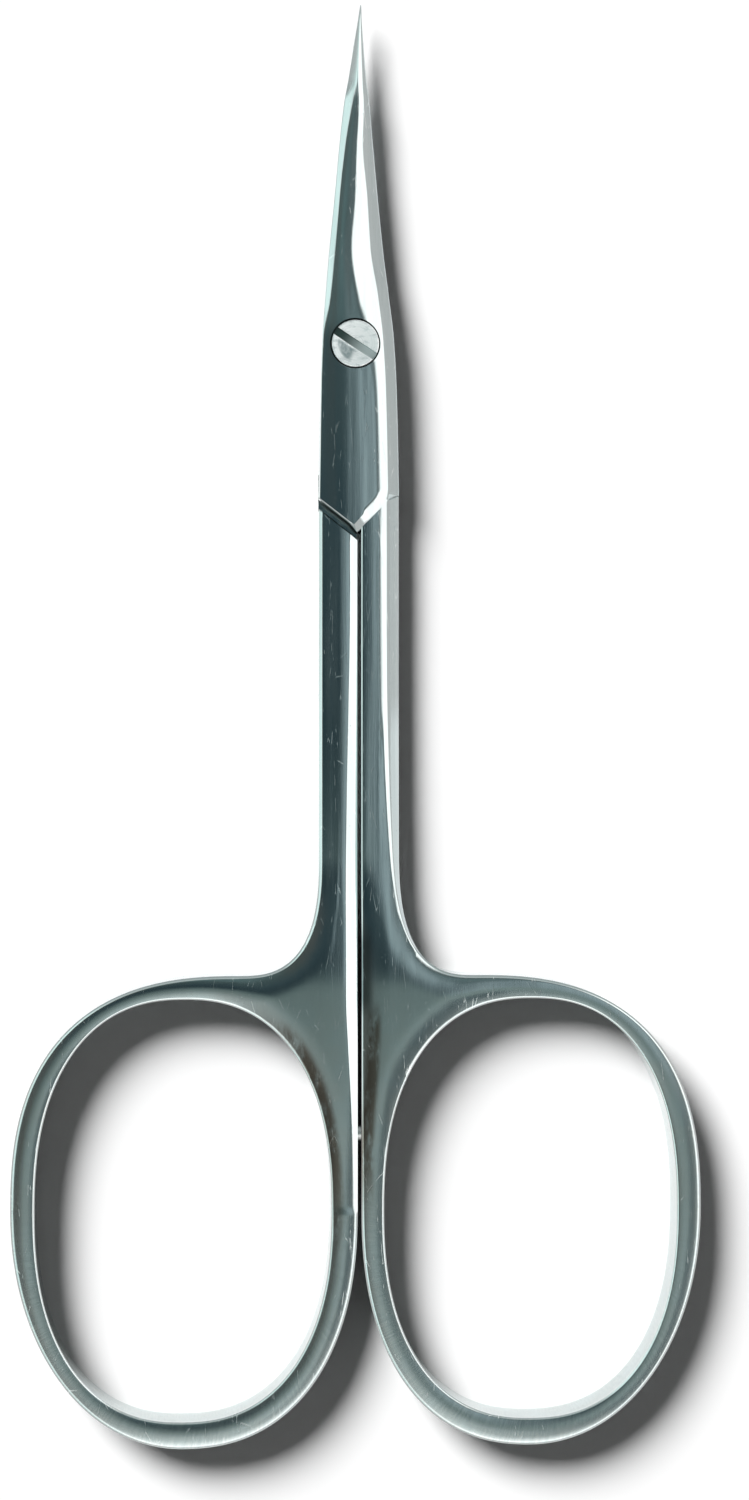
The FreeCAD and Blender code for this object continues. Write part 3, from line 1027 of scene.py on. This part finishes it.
    def neck_run(self, degrees: float) -> Point:
        """The direction of the neck's curve at a place."""
        return between_points(self.neck_point(degrees - 0.5), self.neck_point(degrees + 0.5))

    def opening_run(self, bearing: float) -> Point:
        """The direction of the opening's edge at a bearing."""
        return between_points(self.opening_point(bearing - 0.5), self.opening_point(bearing + 0.5))

    def strip(self, outer: Point, inner: Point, y: float, mixed: float = 0.0,
              inner_run: Point = (0.0, 1.0)) -> Slice:
        """A slice across the shank, or partly like one across the bow's band.

        Args:
            outer: Its end at the gap.
            inner: Its other end.
            y: Place along the half.
            mixed: Share of the band's spacing.
            inner_run: Direction of the edge at the inner end.

        Returns:
            The slice.
        """
        length = math.dist(outer, inner)
        longer = slant(inner_run, between_points(outer, inner))
        width, bevel = self.white(y) * longer, self.bevel(y)
        top = spread(length, GAP_MARKS, [width * mark for mark in FACET_MARKS])
        floor = spread(length, [bevel * mark for mark in BEVEL_MARKS],
                       [0.2 * longer * mark for mark in SIDE_MARKS])
        band = self.band(outer, inner, (0.0, 1.0), inner_run)
        return Slice(outer, inner,
                     [blend(a, b, mixed) for a, b in zip(top, band)],
                     [blend(a, b, mixed) for a, b in zip(floor, band)])

    def band(self, outer: Point, inner: Point, outer_run: Point, inner_run: Point) -> list[float]:
        """Shares across the bow's band that are close-set at both edges.

        Args:
            outer: The slice's end on the outside.
            inner: Its end on the opening.
            outer_run: Direction of the outside edge there.
            inner_run: Direction of the opening's edge there.

        Returns:
            ACROSS shares from 0 to 1.
        """
        across = between_points(outer, inner)
        return spread(math.dist(outer, inner),
                      [0.15 * mark * slant(outer_run, across) for mark in BAND_MARKS],
                      [0.09 * mark * slant(inner_run, across) for mark in BAND_MARKS])

    def lay_slices(self) -> None:
        """Cut the shank and the bow into slices, from the shoulder round to the neck."""
        rows: list[Slice] = []
        outer_start, inner_start = self.shoulder
        for inside, ledge in ((2.2, Ledge.SHELF), (1.6, Ledge.SHELF), (0.8, Ledge.SHELF),
                              (0.02, Ledge.SHELF), (0.0, Ledge.FOOT), (-0.09, Ledge.NONE)):
            laid = self.strip((self.side, outer_start + inside),
                              (self.far_side, inner_start + inside), outer_start)
            laid.ledge = ledge
            rows.append(laid)
        for i in range(1, SHANK_SLICES):
            share = i / SHANK_SLICES
            outer_y = blend(outer_start - 0.09, self.neck, share)
            inner_y = blend(outer_y + (inner_start - outer_start), outer_y, ease(share * 3))
            rows.append(self.strip((self.side, outer_y), (self.far_side, inner_y), outer_y))
        for i in range(NECK_SLICES):
            degrees = 45 * (i / NECK_SLICES) ** 1.4
            inner = self.neck_point(degrees)
            rows.append(self.strip((self.side, inner[1]), inner, inner[1], 0.0,
                                   self.neck_run(degrees)))

        knee, heel = self.neck_point(45), self.opening_point(JOIN)
        self.seam_start = len(rows)
        for share in self.band(knee, heel, self.neck_run(45), self.opening_run(JOIN)):
            inner = blend_point(knee, heel, share)
            rows.append(self.strip((self.side, inner[1]), inner, inner[1]))
        self.seam_end = len(rows) - 1
        for i in range(1, WEB_SLICES + 1):
            bearing = blend(JOIN, 180, i / WEB_SLICES)
            inner = self.opening_point(bearing)
            rows.append(self.strip((self.side, inner[1]), inner, inner[1], ease(i / 16),
                                   self.opening_run(bearing)))

        foot = self.half_opening[1] + self.rim_foot
        quarters = ((self.middle, (self.middle[0] - self.side, foot), 180),
                    (self.middle, (self.outer - self.middle[0], foot), 270),
                    ((self.crown_x, self.middle[1]),
                     (self.outer - self.crown_x, self.crown - self.middle[1]), 0))
        for (centre, reach, start), power, steps in zip(quarters, self.bow_powers, BOW_SLICES):
            points = even_points(lambda t: oval(centre, reach, power, start + 90 * t), steps)
            for i, point in enumerate(points[1:], 1):
                run = between_points(points[i - 1], points[min(i + 1, steps)])
                rows.append(self.cut(point, self.bearing(point), run))
        top_bearing = self.bearing((self.crown_x, self.crown))
        neck = even_points(lambda t: self.neck_point(90 - 45 * t), CROWN_SLICES)
        neck.append(self.neck_point(44))
        for i in range(1, CROWN_SLICES + 1):
            rows.append(self.cut(neck[i], blend(top_bearing, JOIN, i / CROWN_SLICES),
                                 between_points(neck[i - 1], neck[i + 1])))
        self.slices = rows

    def cut(self, point: Point, bearing: float, run: Point) -> Slice:
        """A slice across the bow's band.

        Args:
            point: Its end on the outside.
            bearing: Where it ends on the opening.
            run: Direction of the outside edge.

        Returns:
            The slice.
        """
        inner = self.opening_point(bearing)
        shares = self.band(point, inner, run, self.opening_run(bearing))
        return Slice(point, inner, shares, shares)

    def lay_brinks(self) -> None:
        """Gather the real edges of the outline, with the form of each."""
        points: list[Point] = []
        rows: list[EdgeRow] = []
        ring_start = self.seam_end + WEB_SLICES + 1
        for laid in self.slices[:ring_start]:
            points.append(laid.outer)
            rows.append(self.gap_row(laid.outer[1]))
        points[0] = (self.side, -6.0)
        for laid in self.slices[ring_start:]:
            points.append(laid.outer)
            rows.append(self.ring_row(laid.outer, self.edge)
                        if laid.outer[1] < self.crown or laid.outer[0] > self.crown_x
                        else self.strip_row(laid.outer))
        for laid in reversed(self.slices[:self.seam_start]):
            points.append(laid.inner)
            rows.append(self.strip_row(laid.inner))
        points[-1] = (self.far_side, -5.0)
        self.outside = Brink(points, rows, closed=False)
        ring = [laid.inner for laid in self.slices[self.seam_end:]]
        self.inside = Brink(ring, [self.ring_row(place, self.opening_edge) for place in ring],
                            closed=True)

    def heights(self, place: Point) -> tuple[float, float, float]:
        """The steel's top and floor at a place, and how near an edge it is.

        Args:
            place: Where to measure.

        Returns:
            Top, floor and nearness to an edge from 0 to 1.
        """
        out_away, out_row = self.outside.nearest(place)
        in_away, in_row = self.inside.nearest(place)
        swell = ease((-32.0 - place[1]) / 8.0)
        reach = blend(0.8, 1.7, self.towards_bow(place[1]))
        top = blend(self.shank_top, self.thick, swell)
        top -= self.face_tilt * (1 - swell) * max(0.0, min(place[0], self.far_side) - self.side)
        floor = blend(self.shank_floor, 0.0, swell)
        drops = []
        for width, drop, facets, swelling, facet_form in (
                ("top_width", "top_drop", "top_facets", "top_swell", EdgeForm.FACETED),
                ("floor_width", "floor_drop", "floor_facets", "floor_swell",
                 EdgeForm.CHAMFERED)):
            worst = soft = 0.0
            for away, row in ((out_away, out_row), (in_away, in_row)):
                part = away / getattr(row, width)
                mix = getattr(row, facets)
                beyond = max(0.0, away - mix * getattr(row, width))
                soft += getattr(row, swelling) * max(0.0, 1 - beyond / reach) ** 2
                depth = (1 - mix) * fall(EdgeForm.BROKEN, part) + mix * fall(facet_form, part)
                worst = max(worst, getattr(row, drop) * depth)
            drops.append(worst + soft)
        near = max(0.0, 1 - min(out_away, in_away) / 0.12)
        return top - drops[0], floor + drops[1], near

    def handle(self) -> bmesh.types.BMesh:
        """The shank and the bow as one closed solid."""
        self.lay_slices()
        self.lay_brinks()
        columns: list[list[Vector]] = []
        marks: list[list[float]] = []
        for laid in self.slices:
            top, floor, top_marks, floor_marks = [], [], [], []
            for shares, line, edge, is_top in ((laid.top, top, top_marks, True),
                                               (laid.floor, floor, floor_marks, False)):
                for share in shares:
                    place = blend_point(laid.outer, laid.inner, share)
                    high, low, near = self.heights(place)
                    if laid.ledge is Ledge.SHELF:
                        low = self.plate_floor + 0.02
                        high = min(high, self.shank_top)
                    elif laid.ledge is Ledge.FOOT:
                        low += 0.08
                    line.append(Vector((*place, high if is_top else low)))
                    edge.append(near)
            outer_wall = [floor[0].lerp(top[0], (i + 1) / (WALL + 1)) for i in range(WALL)]
            inner_wall = [top[-1].lerp(floor[-1], (i + 1) / (WALL + 1)) for i in range(WALL)]
            columns.append(top + inner_wall + floor[::-1] + outer_wall + [top[0].copy()])
            marks.append(top_marks + [0.0] * WALL + floor_marks[::-1] + [0.0] * WALL + [top_marks[0]])

        def within_web(column: int, row: int) -> bool:
            """Whether a face would stand inside the web, where shank and bow meet."""
            return (self.seam_start <= column < self.seam_end
                    and ACROSS - 1 <= row < ACROSS + WALL)

        mesh = woven(columns, within_web, marks)
        close_up(mesh)
        return mesh

    def section(self, y: float) -> list[Point]:
        """The blade's or plate's section, from its free side over to its shank's side.

        Args:
            y: Place along the half.

        Returns:
            Points of the section as X and height above the plate's floor.
        """
        tall = self.thick - self.plate_floor
        along = y / (self.blade_length if y > 0 else self.plate_point)
        width, back, inset, crest, ridge, facet, facet_height, edge = (
            steady([(row[0], row[i]) for row in self.stations])(along) for i in range(1, 9))
        half = self.plate_half * width
        centre = self.gap_line + self.tip_lean * (max(along, 0) ** 8 + self.drift(along))
        crowned = 0.017 * half * (ridge - inset + 1)
        level = tall * crest - crowned
        corners = [(-half, 0.0), (-half, tall * back), (half * (inset - 1), level),
                   (half * ridge, level), (half * facet, tall * facet_height),
                   (half, tall * edge), (half, 0.0)]
        corners = [(centre + x, z) for x, z in corners]
        flat = corners[3][0] - corners[2][0]
        radii = (0, 0.05, 0.12, min(0.42, 0.18 * flat), 0.09, 0.08, 0)
        points = [corners[0]]
        for i in range(1, 6):
            before, here, after = corners[i - 1], corners[i], corners[i + 1]
            reach_in = min(radii[i], 0.4 * math.dist(before, here)) / math.dist(before, here)
            reach_out = min(radii[i], 0.4 * math.dist(here, after)) / math.dist(here, after)
            start, stop = blend_point(here, before, reach_in), blend_point(here, after, reach_out)
            for step in range(5):
                t = step / 4
                points.append(blend_point(blend_point(start, here, t), blend_point(here, stop, t), t))
            if i == 2:
                ahead = corners[3]
                reach = 1 - min(radii[3], 0.4 * math.dist(here, ahead)) / math.dist(here, ahead)
                after_arc = points[-1]
                last = blend_point(here, ahead, reach)
                for share in CROWN_MARKS:
                    x, z = blend_point(after_arc, last, share)
                    points.append((x, z + crowned * (1 - (2 * share - 1) ** 2)))
        points.append(corners[6])
        return points

    def plate_end(self, x: float) -> tuple[float, Point, float]:
        """The plate's lower end at a place across it.

        Args:
            x: Place across the plate.

        Returns:
            Its Y, the way its bevel reaches out, and how much of a step it makes.
        """
        point = self.gap_line - 0.36
        corner = self.gap_line + 1.43
        left = self.gap_line - self.plate_half
        if x < point - 1e-6:
            return (blend(self.end_left, -self.plate_point, (x - left) / (point - left)),
                    (-0.037, -0.047), 0.0)
        if x <= corner:
            rise = ease((x - point) / 0.5)
            return (blend(-self.plate_point, self.end_corner, (x - point) / (corner - point)),
                    (blend(0.2, 0.41, rise), blend(-0.45, -0.367, rise)), 1.0)
        share = (x - corner) / (self.far_side - corner)
        return (blend(self.end_corner, self.end_right, share),
                (0.41 * (1 - ease(share * 3)) * 0.4, -0.5), 1.0)

    def plate_and_blade(self) -> bmesh.types.BMesh:
        """The pivot plate and the blade as one closed solid."""
        bottom = self.plate_floor
        base = self.section(-self.plate_point)
        end_points, edge_points = [], []
        for x, z in base:
            end_y, reach, step = self.plate_end(x)
            edge_points.append(Vector((x, end_y, bottom + z)))
            share = max(0.0, (self.far_side - x) / 1.08)
            side_fall = fall(EdgeForm.FACETED, share)
            if step:
                low = min(self.shank_top - 0.9 * side_fall - 0.05, bottom + z)
                narrow = 1 - side_fall
                place = (x + reach[0] * narrow, end_y + reach[1] * narrow)
            else:
                low = bottom + max(z - 0.06, 0.0)
                place = (x + reach[0], end_y + reach[1])
            end_points.append(Vector((*place, max(low, bottom + min(z, 0.01)))))
        wall_low = [Vector((p.x, p.y, bottom)) for p in end_points]

        def laid(points: list[Vector]) -> list[Vector]:
            """A closed loop whose floor lies straight under its top."""
            below = [Vector((p.x, p.y, bottom)) for p in points[1:-1]]
            return points + below[::-1] + [points[0].copy()]

        stations = [laid(end_points), laid(edge_points)]
        for i in range(1, PLATE_SLICES + 1):
            share = i / PLATE_SLICES
            stations.append(laid([
                Vector((x, blend(self.plate_end(x)[0], self.plate_top, share), bottom + z))
                for x, z in self.section(blend(-self.plate_point, self.plate_top, share))]))
        for i in range(1, BLADE_SLICES + 1):
            y = blend(self.plate_top, self.blade_length, 1 - (1 - i / BLADE_SLICES) ** 1.15)
            stations.append(laid([Vector((x, y, bottom + z)) for x, z in self.section(y)]))
        mesh = woven(stations)

        cap = woven([[high, low] for high, low in zip(end_points, wall_low)])
        data = settle(cap, "plate_cap")
        mesh.from_mesh(data)
        bpy.data.meshes.remove(data)
        bmesh.ops.remove_doubles(mesh, verts=mesh.verts, dist=1e-5)
        close_up(mesh)
        return mesh

    def bored(self, mesh: bmesh.types.BMesh) -> bmesh.types.BMesh:
        """The plate with the hole of the pivot in it."""
        if self.hand is Hand.FRONT:
            profile = ((0, 1.0), (0.92, 1.0), (0.92, 2.44), (1.562, 2.44), (1.562, 3.185),
                       (1.58, 3.205), (1.58, 3.6), (0, 3.6))
            return carved(mesh, turned(profile, (0, 0), 96))
        low, high = 1.0, 3.6
        profile = ((0, low), (0.71, low), (0.71, 3.15), (0.77, 3.21), (0.77, high), (0, high))
        return carved(mesh, turned(profile, (self.gap_line * 2, 0), 72))

    def build(self, finish: bpy.types.Material) -> bpy.types.Object:
        """Make the half, turn it to its side and let it ride on its body.

        Args:
            finish: Its material.

        Returns:
            The piece.
        """
        parts = [self.handle(), self.bored(self.plate_and_blade())]
        if self.hand is Hand.REAR:
            over = (Matrix.Translation((self.gap_line * 2, 0, self.thick))
                    @ Matrix.Rotation(math.pi, 4, "Y"))
            for part in parts:
                bmesh.ops.transform(part, matrix=over, verts=part.verts)
        piece = show(parts, f"{self.hand.value}_half_steel", finish, 32)
        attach(piece, self.hand.value)
        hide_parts(f"{self.hand.value}_half")
        return piece


@dataclass
class PivotScrew:
    """The slotted screw that joins the halves, in millimetres."""

    head_radius: float = 1.475
    head_top: float = 3.16
    head_floor: float = 2.46
    journal: float = 0.90
    thread: float = 0.70
    slot_half: float = 0.25
    slot_floor: float = 2.84
    slot_angle: float = -33.0

    def build(self, finish: bpy.types.Material) -> bpy.types.Object:
        """Turn the screw, cut its slot and let it ride on the rear half.

        Args:
            finish: Its material.

        Returns:
            The piece.
        """
        edge = [(self.head_radius - 0.09 + 0.09 * math.sin(math.radians(a)),
                 self.head_top - 0.10 + 0.09 * math.cos(math.radians(a)))
                for a in range(0, 91, 15)]
        profile = ([(0, 0.0), (self.thread - 0.1, 0.0), (self.thread, 0.1), (self.thread, 1.595),
                    (self.journal, 1.595), (self.journal, self.head_floor),
                    (self.head_radius, self.head_floor)] + edge[::-1]
                   + [(1.3, self.head_top - 0.018), (1.15, self.head_top - 0.034),
                      (0.9, self.head_top - 0.060), (0.6, self.head_top - 0.084),
                      (0.3, self.head_top - 0.098), (0, self.head_top - 0.102)])
        screw = turned(profile, (0, 0), 96)
        cutter = bmesh.new()
        bmesh.ops.create_cube(cutter, size=1)
        bmesh.ops.scale(cutter, vec=(4, self.slot_half * 2, 1), verts=cutter.verts)
        bmesh.ops.translate(cutter, vec=(0, 0, self.slot_floor + 0.5), verts=cutter.verts)
        low = [e for e in cutter.edges
               if all(v.co.z < self.slot_floor + 0.01 for v in e.verts)
               and abs(e.verts[0].co.y - e.verts[1].co.y) < 1e-6]
        bmesh.ops.bevel(cutter, geom=low, offset=0.05, segments=3, affect="EDGES",
                        profile=0.5, material=-1)
        bmesh.ops.rotate(cutter, cent=(0, 0, 0), verts=cutter.verts,
                         matrix=Matrix.Rotation(math.radians(self.slot_angle), 3, "Z"))
        piece = show([carved(screw, cutter)], "pivot_screw_steel", finish, 30)
        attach(piece, "rear")
        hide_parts("pivot_screw")
        return piece


# The studio

# What polished steel sees above it, by the reflected ray's Y and by its X, both from -0.4 to 0.4
TENT_TONES = (
    (0.0, (0.90, 0.96, 0.95, 1)), (0.125, (0.68, 0.74, 0.73, 1)), (0.24, (0.43, 0.49, 0.48, 1)),
    (0.32, (0.245, 0.30, 0.295, 1)), (0.385, (0.175, 0.225, 0.215, 1)),
    (0.415, (0.155, 0.205, 0.20, 1)), (0.4625, (0.050, 0.080, 0.086, 1)),
    (0.525, (0.018, 0.037, 0.046, 1)), (0.60, (0.035, 0.062, 0.074, 1)),
    (0.65, (0.053, 0.086, 0.094, 1)), (0.73, (0.062, 0.098, 0.102, 1)),
    (0.785, (0.115, 0.175, 0.18, 1)), (0.855, (0.135, 0.205, 0.21, 1)),
    (0.90, (0.122, 0.187, 0.19, 1)), (1.0, (0.125, 0.19, 0.194, 1)))
TENT_GAINS = ((0.0, 0.34), (0.12, 0.27), (0.25, 0.36), (0.375, 0.95), (0.50, 1.05),
              (0.60, 1.05), (0.70, 1.4), (0.80, 0.50), (0.87, 0.50), (1.0, 1.0))


@dataclass
class Studio:
    """Floor, light and camera. Lengths are in millimetres and colours linear."""

    eye: tuple[float, float, float] = (-10.5, -25.8, 191.6)
    aim: tuple[float, float, float] = (1.281, -25.21, 1.6)
    frame_tall: float = 93.73
    floor_half: float = 800.0
    floor_gap: float = 0.05
    sun_strength: float = 5.15
    sun_from: tuple[float, float, float] = (-0.52, 0.59, 0.62)
    sun_spread: float = 27.0
    ambient: Colour = (0.065, 0.065, 0.065, 1)
    pale: Colour = (0.42, 0.51, 0.535, 1)
    grey: Colour = (0.16, 0.185, 0.19, 1)
    amber: Colour = (0.085, 0.066, 0.052, 1)
    slate: Colour = (0.07, 0.09, 0.09, 1)
    shade: Colour = (0.06, 0.09, 0.10, 1)
    closed: Colour = (0.62, 0.65, 0.65, 1)
    panel: Colour = (1.75, 1.72, 1.70, 1)
    cool_panel: Colour = (1.12, 1.31, 1.28, 1)
    horizon: Colour = (0.70, 0.68, 0.675, 1)
    far_horizon: Colour = (0.46, 0.50, 0.50, 1)

    def floor(self) -> None:
        """A plain pale floor under the scissors."""
        mesh = bmesh.new()
        bmesh.ops.create_grid(mesh, x_segments=1, y_segments=1, size=self.floor_half * MM)
        bmesh.ops.translate(mesh, vec=(0, 0, -self.floor_gap * MM), verts=mesh.verts)
        floor = linked("floor", settle(mesh, "floor"))
        made, tree = new_material("pale_floor")
        shader = tree.node("ShaderNodeBsdfPrincipled")
        shader.inputs["Base Color"].default_value = (0.95, 0.95, 0.95, 1)
        shader.inputs["Roughness"].default_value = 0.9
        shader.inputs["Specular IOR Level"].default_value = 0.1
        out = tree.node("ShaderNodeOutputMaterial")
        tree.feed(out.inputs["Surface"], shader.outputs["BSDF"])
        floor.data.materials.append(made)

    def overhead(self, tree: Tree, x: Socket, y: Socket, reach: Socket) -> Socket:
        """The tent's dark top, which the flats reflect.

        Args:
            tree: The world's tree.
            x: The ray's X.
            y: The ray's Y.
            reach: How far the ray leans from upright.

        Returns:
            Its colour.
        """
        right, left = tree.between(x, 0.0, 0.12), tree.between(x, -0.02, -0.12)
        high = tree.product(tree.between(y, -0.10, -0.04), tree.between(y, 0.12, 0.20, 1.0, 0.3))
        tone = tree.layered(
            tree.ramp(tree.math("MULTIPLY_ADD", y, 1 / 0.8, 0.5), TENT_TONES),
            (tree.product(high, tree.between(x, 0.085, 0.175, 0.0, 0.95)), self.pale),
            (tree.product(high, tree.between(x, -0.07, -0.20, 0.0, 0.5)), self.grey))
        halves = [(at, (gain / 2, gain / 2, gain / 2, 1)) for at, gain in TENT_GAINS]
        wave = tree.ramp(tree.math("MULTIPLY_ADD", x, 1 / 0.8, 0.5), halves)
        low = tree.product(tree.between(y, -0.04, -0.10), tree.between(y, -0.40, -0.28))
        gain = tree.math("MULTIPLY_ADD", tree.math("MULTIPLY_ADD", wave, 2.0, -1.0), low, 1.0)
        return tree.layered(
            tree.mix(1.0, tone, gain, "MULTIPLY"),
            (tree.product(tree.window(reach, (0.10, 0.20), (0.38, 0.46)), 0.45, left), self.amber),
            (tree.product(tree.window(reach, (0.28, 0.33), (0.42, 0.48)), 0.7, right), self.slate),
            (tree.product(tree.window(x, (0.12, 0.15), (0.26, 0.34)),
                          tree.window(y, (-0.13, -0.17), (-0.25, -0.30))), self.shade))

    def sides(self, tree: Tree, x: Socket, y: Socket, reach: Socket) -> Socket:
        """The tent's bright sides and grey horizon, which the facets and edges reflect.

        Args:
            tree: The world's tree.
            x: The ray's X.
            y: The ray's Y.
            reach: How far the ray leans from upright.

        Returns:
            Their colour.
        """
        least = tree.math("MAXIMUM", reach, 0.001)
        aside = tree.math("DIVIDE", tree.math("ABSOLUTE", x), least)
        ahead = tree.math("DIVIDE", y, least)
        open_side = tree.math("MAXIMUM", tree.between(aside, 0.45, 0.75),
                              tree.between(ahead, -0.5, -0.85))
        panel = tree.mix(tree.between(x, -0.20, -0.45), self.panel, self.cool_panel)
        rim = tree.mix(tree.between(ahead, 0.3, 0.8), self.horizon, self.far_horizon)
        return tree.mix(tree.between(reach, 0.865, 0.93), tree.mix(open_side, self.closed, panel),
                        rim)

    def sky(self) -> None:
        """White seen directly; for reflections, a dark top within a bright tent."""
        world = bpy.data.worlds.new("studio")
        bpy.context.scene.world = world
        world.use_nodes = True
        tree = Tree(world.node_tree)
        x, y, _ = tree.separate(tree.node("ShaderNodeTexCoord").outputs["Generated"])
        reach = tree.length(tree.combined(x, y))
        tent = tree.mix(tree.between(reach, 0.42, 0.51), self.overhead(tree, x, y, reach),
                        self.sides(tree, x, y, reach))
        path = tree.node("ShaderNodeLightPath").outputs
        matt = tree.math("MAXIMUM", path["Is Diffuse Ray"],
                         tree.math("MINIMUM", path["Diffuse Depth"], 1.0))
        back = tree.node("ShaderNodeBackground")
        tree.feed(back.inputs["Color"], tree.layered(
            tent, (matt, self.ambient), (path["Is Camera Ray"], (1, 1, 1, 1))))
        out = tree.node("ShaderNodeOutputWorld")
        tree.feed(out.inputs["Surface"], back.outputs[0])

    def sun(self) -> None:
        """One wide soft lamp from the upper left."""
        lamp = bpy.data.lights.new("key", "SUN")
        lamp.energy = self.sun_strength
        lamp.angle = math.radians(self.sun_spread)
        holder = linked("key", lamp)
        holder.rotation_euler = Vector(self.sun_from).to_track_quat("Z", "Y").to_euler()
        holder.visible_glossy = False

    def camera(self) -> None:
        """The camera that sees the scissors as the photograph does."""
        eye, aim = Vector(self.eye), Vector(self.aim)
        ahead = (aim - eye).normalized()
        right = ahead.cross(Vector((0, 1, 0))).normalized()
        up = right.cross(ahead)
        data = bpy.data.cameras.new("camera")
        data.sensor_width = 36.0
        data.lens = data.sensor_width * (eye - aim).length / self.frame_tall
        data.clip_start = 0.01
        camera = linked("camera", data)
        turn = Matrix((right, up, -ahead)).transposed().to_4x4()
        camera.matrix_world = Matrix.Translation(eye * MM) @ turn
        bpy.context.scene.camera = camera

    def build(self) -> None:
        """Set up everything round the scissors."""
        self.floor()
        self.sky()
        self.sun()
        self.camera()


def dress_pin(groups: dict[str, bpy.types.NodeTree]) -> None:
    """Give the stop pin its own finish."""
    finish = TurnedFinish("pin_steel", (0.50, 0.52, 0.51, 1), (0.33, 0.35, 0.35, 1), 0.30,
                          centre=(0.0, -49.0, 2.4))
    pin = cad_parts["stop_pin"]
    pin.data.materials.clear()
    pin.data.materials.append(finish.material(groups))


def main() -> None:
    """Build the scissors and the studio."""
    logging.basicConfig(level=logging.INFO)
    bpy.context.scene.view_settings.view_transform = "Standard"
    groups = {"buffing": buffing_group(), "cross_brush": cross_brush_group(),
              "handling": handling_group(), "turning": turning_group()}
    front = Half(Hand.FRONT, rim_inner=1.41, tip_lean=0.15, face_tilt=0.04, arch=0.17)
    rear = Half(Hand.REAR, rim_inner=1.63, tip_lean=-0.15)
    for half in (front, rear):
        x, y = half.middle
        if half.hand is Hand.REAR:
            x = half.gap_line * 2 - x
        finish = SteelFinish(f"{half.hand.value}_steel", (x, y), half.half_opening,
                             stain_and_painted_reflection_at_gap=half.hand is Hand.FRONT)
        half.build(finish.material(groups))
    screw = PivotScrew()
    screw.build(TurnedFinish(
        "screw_steel", (0.97, 1.0, 1.0, 1), (0.34, 0.40, 0.41, 1), 0.52, slot_level=2.93,
        slot_turn=math.radians(screw.slot_angle)).material(groups))
    dress_pin(groups)
    Studio().build()


if __name__ == "__main__":
    main()
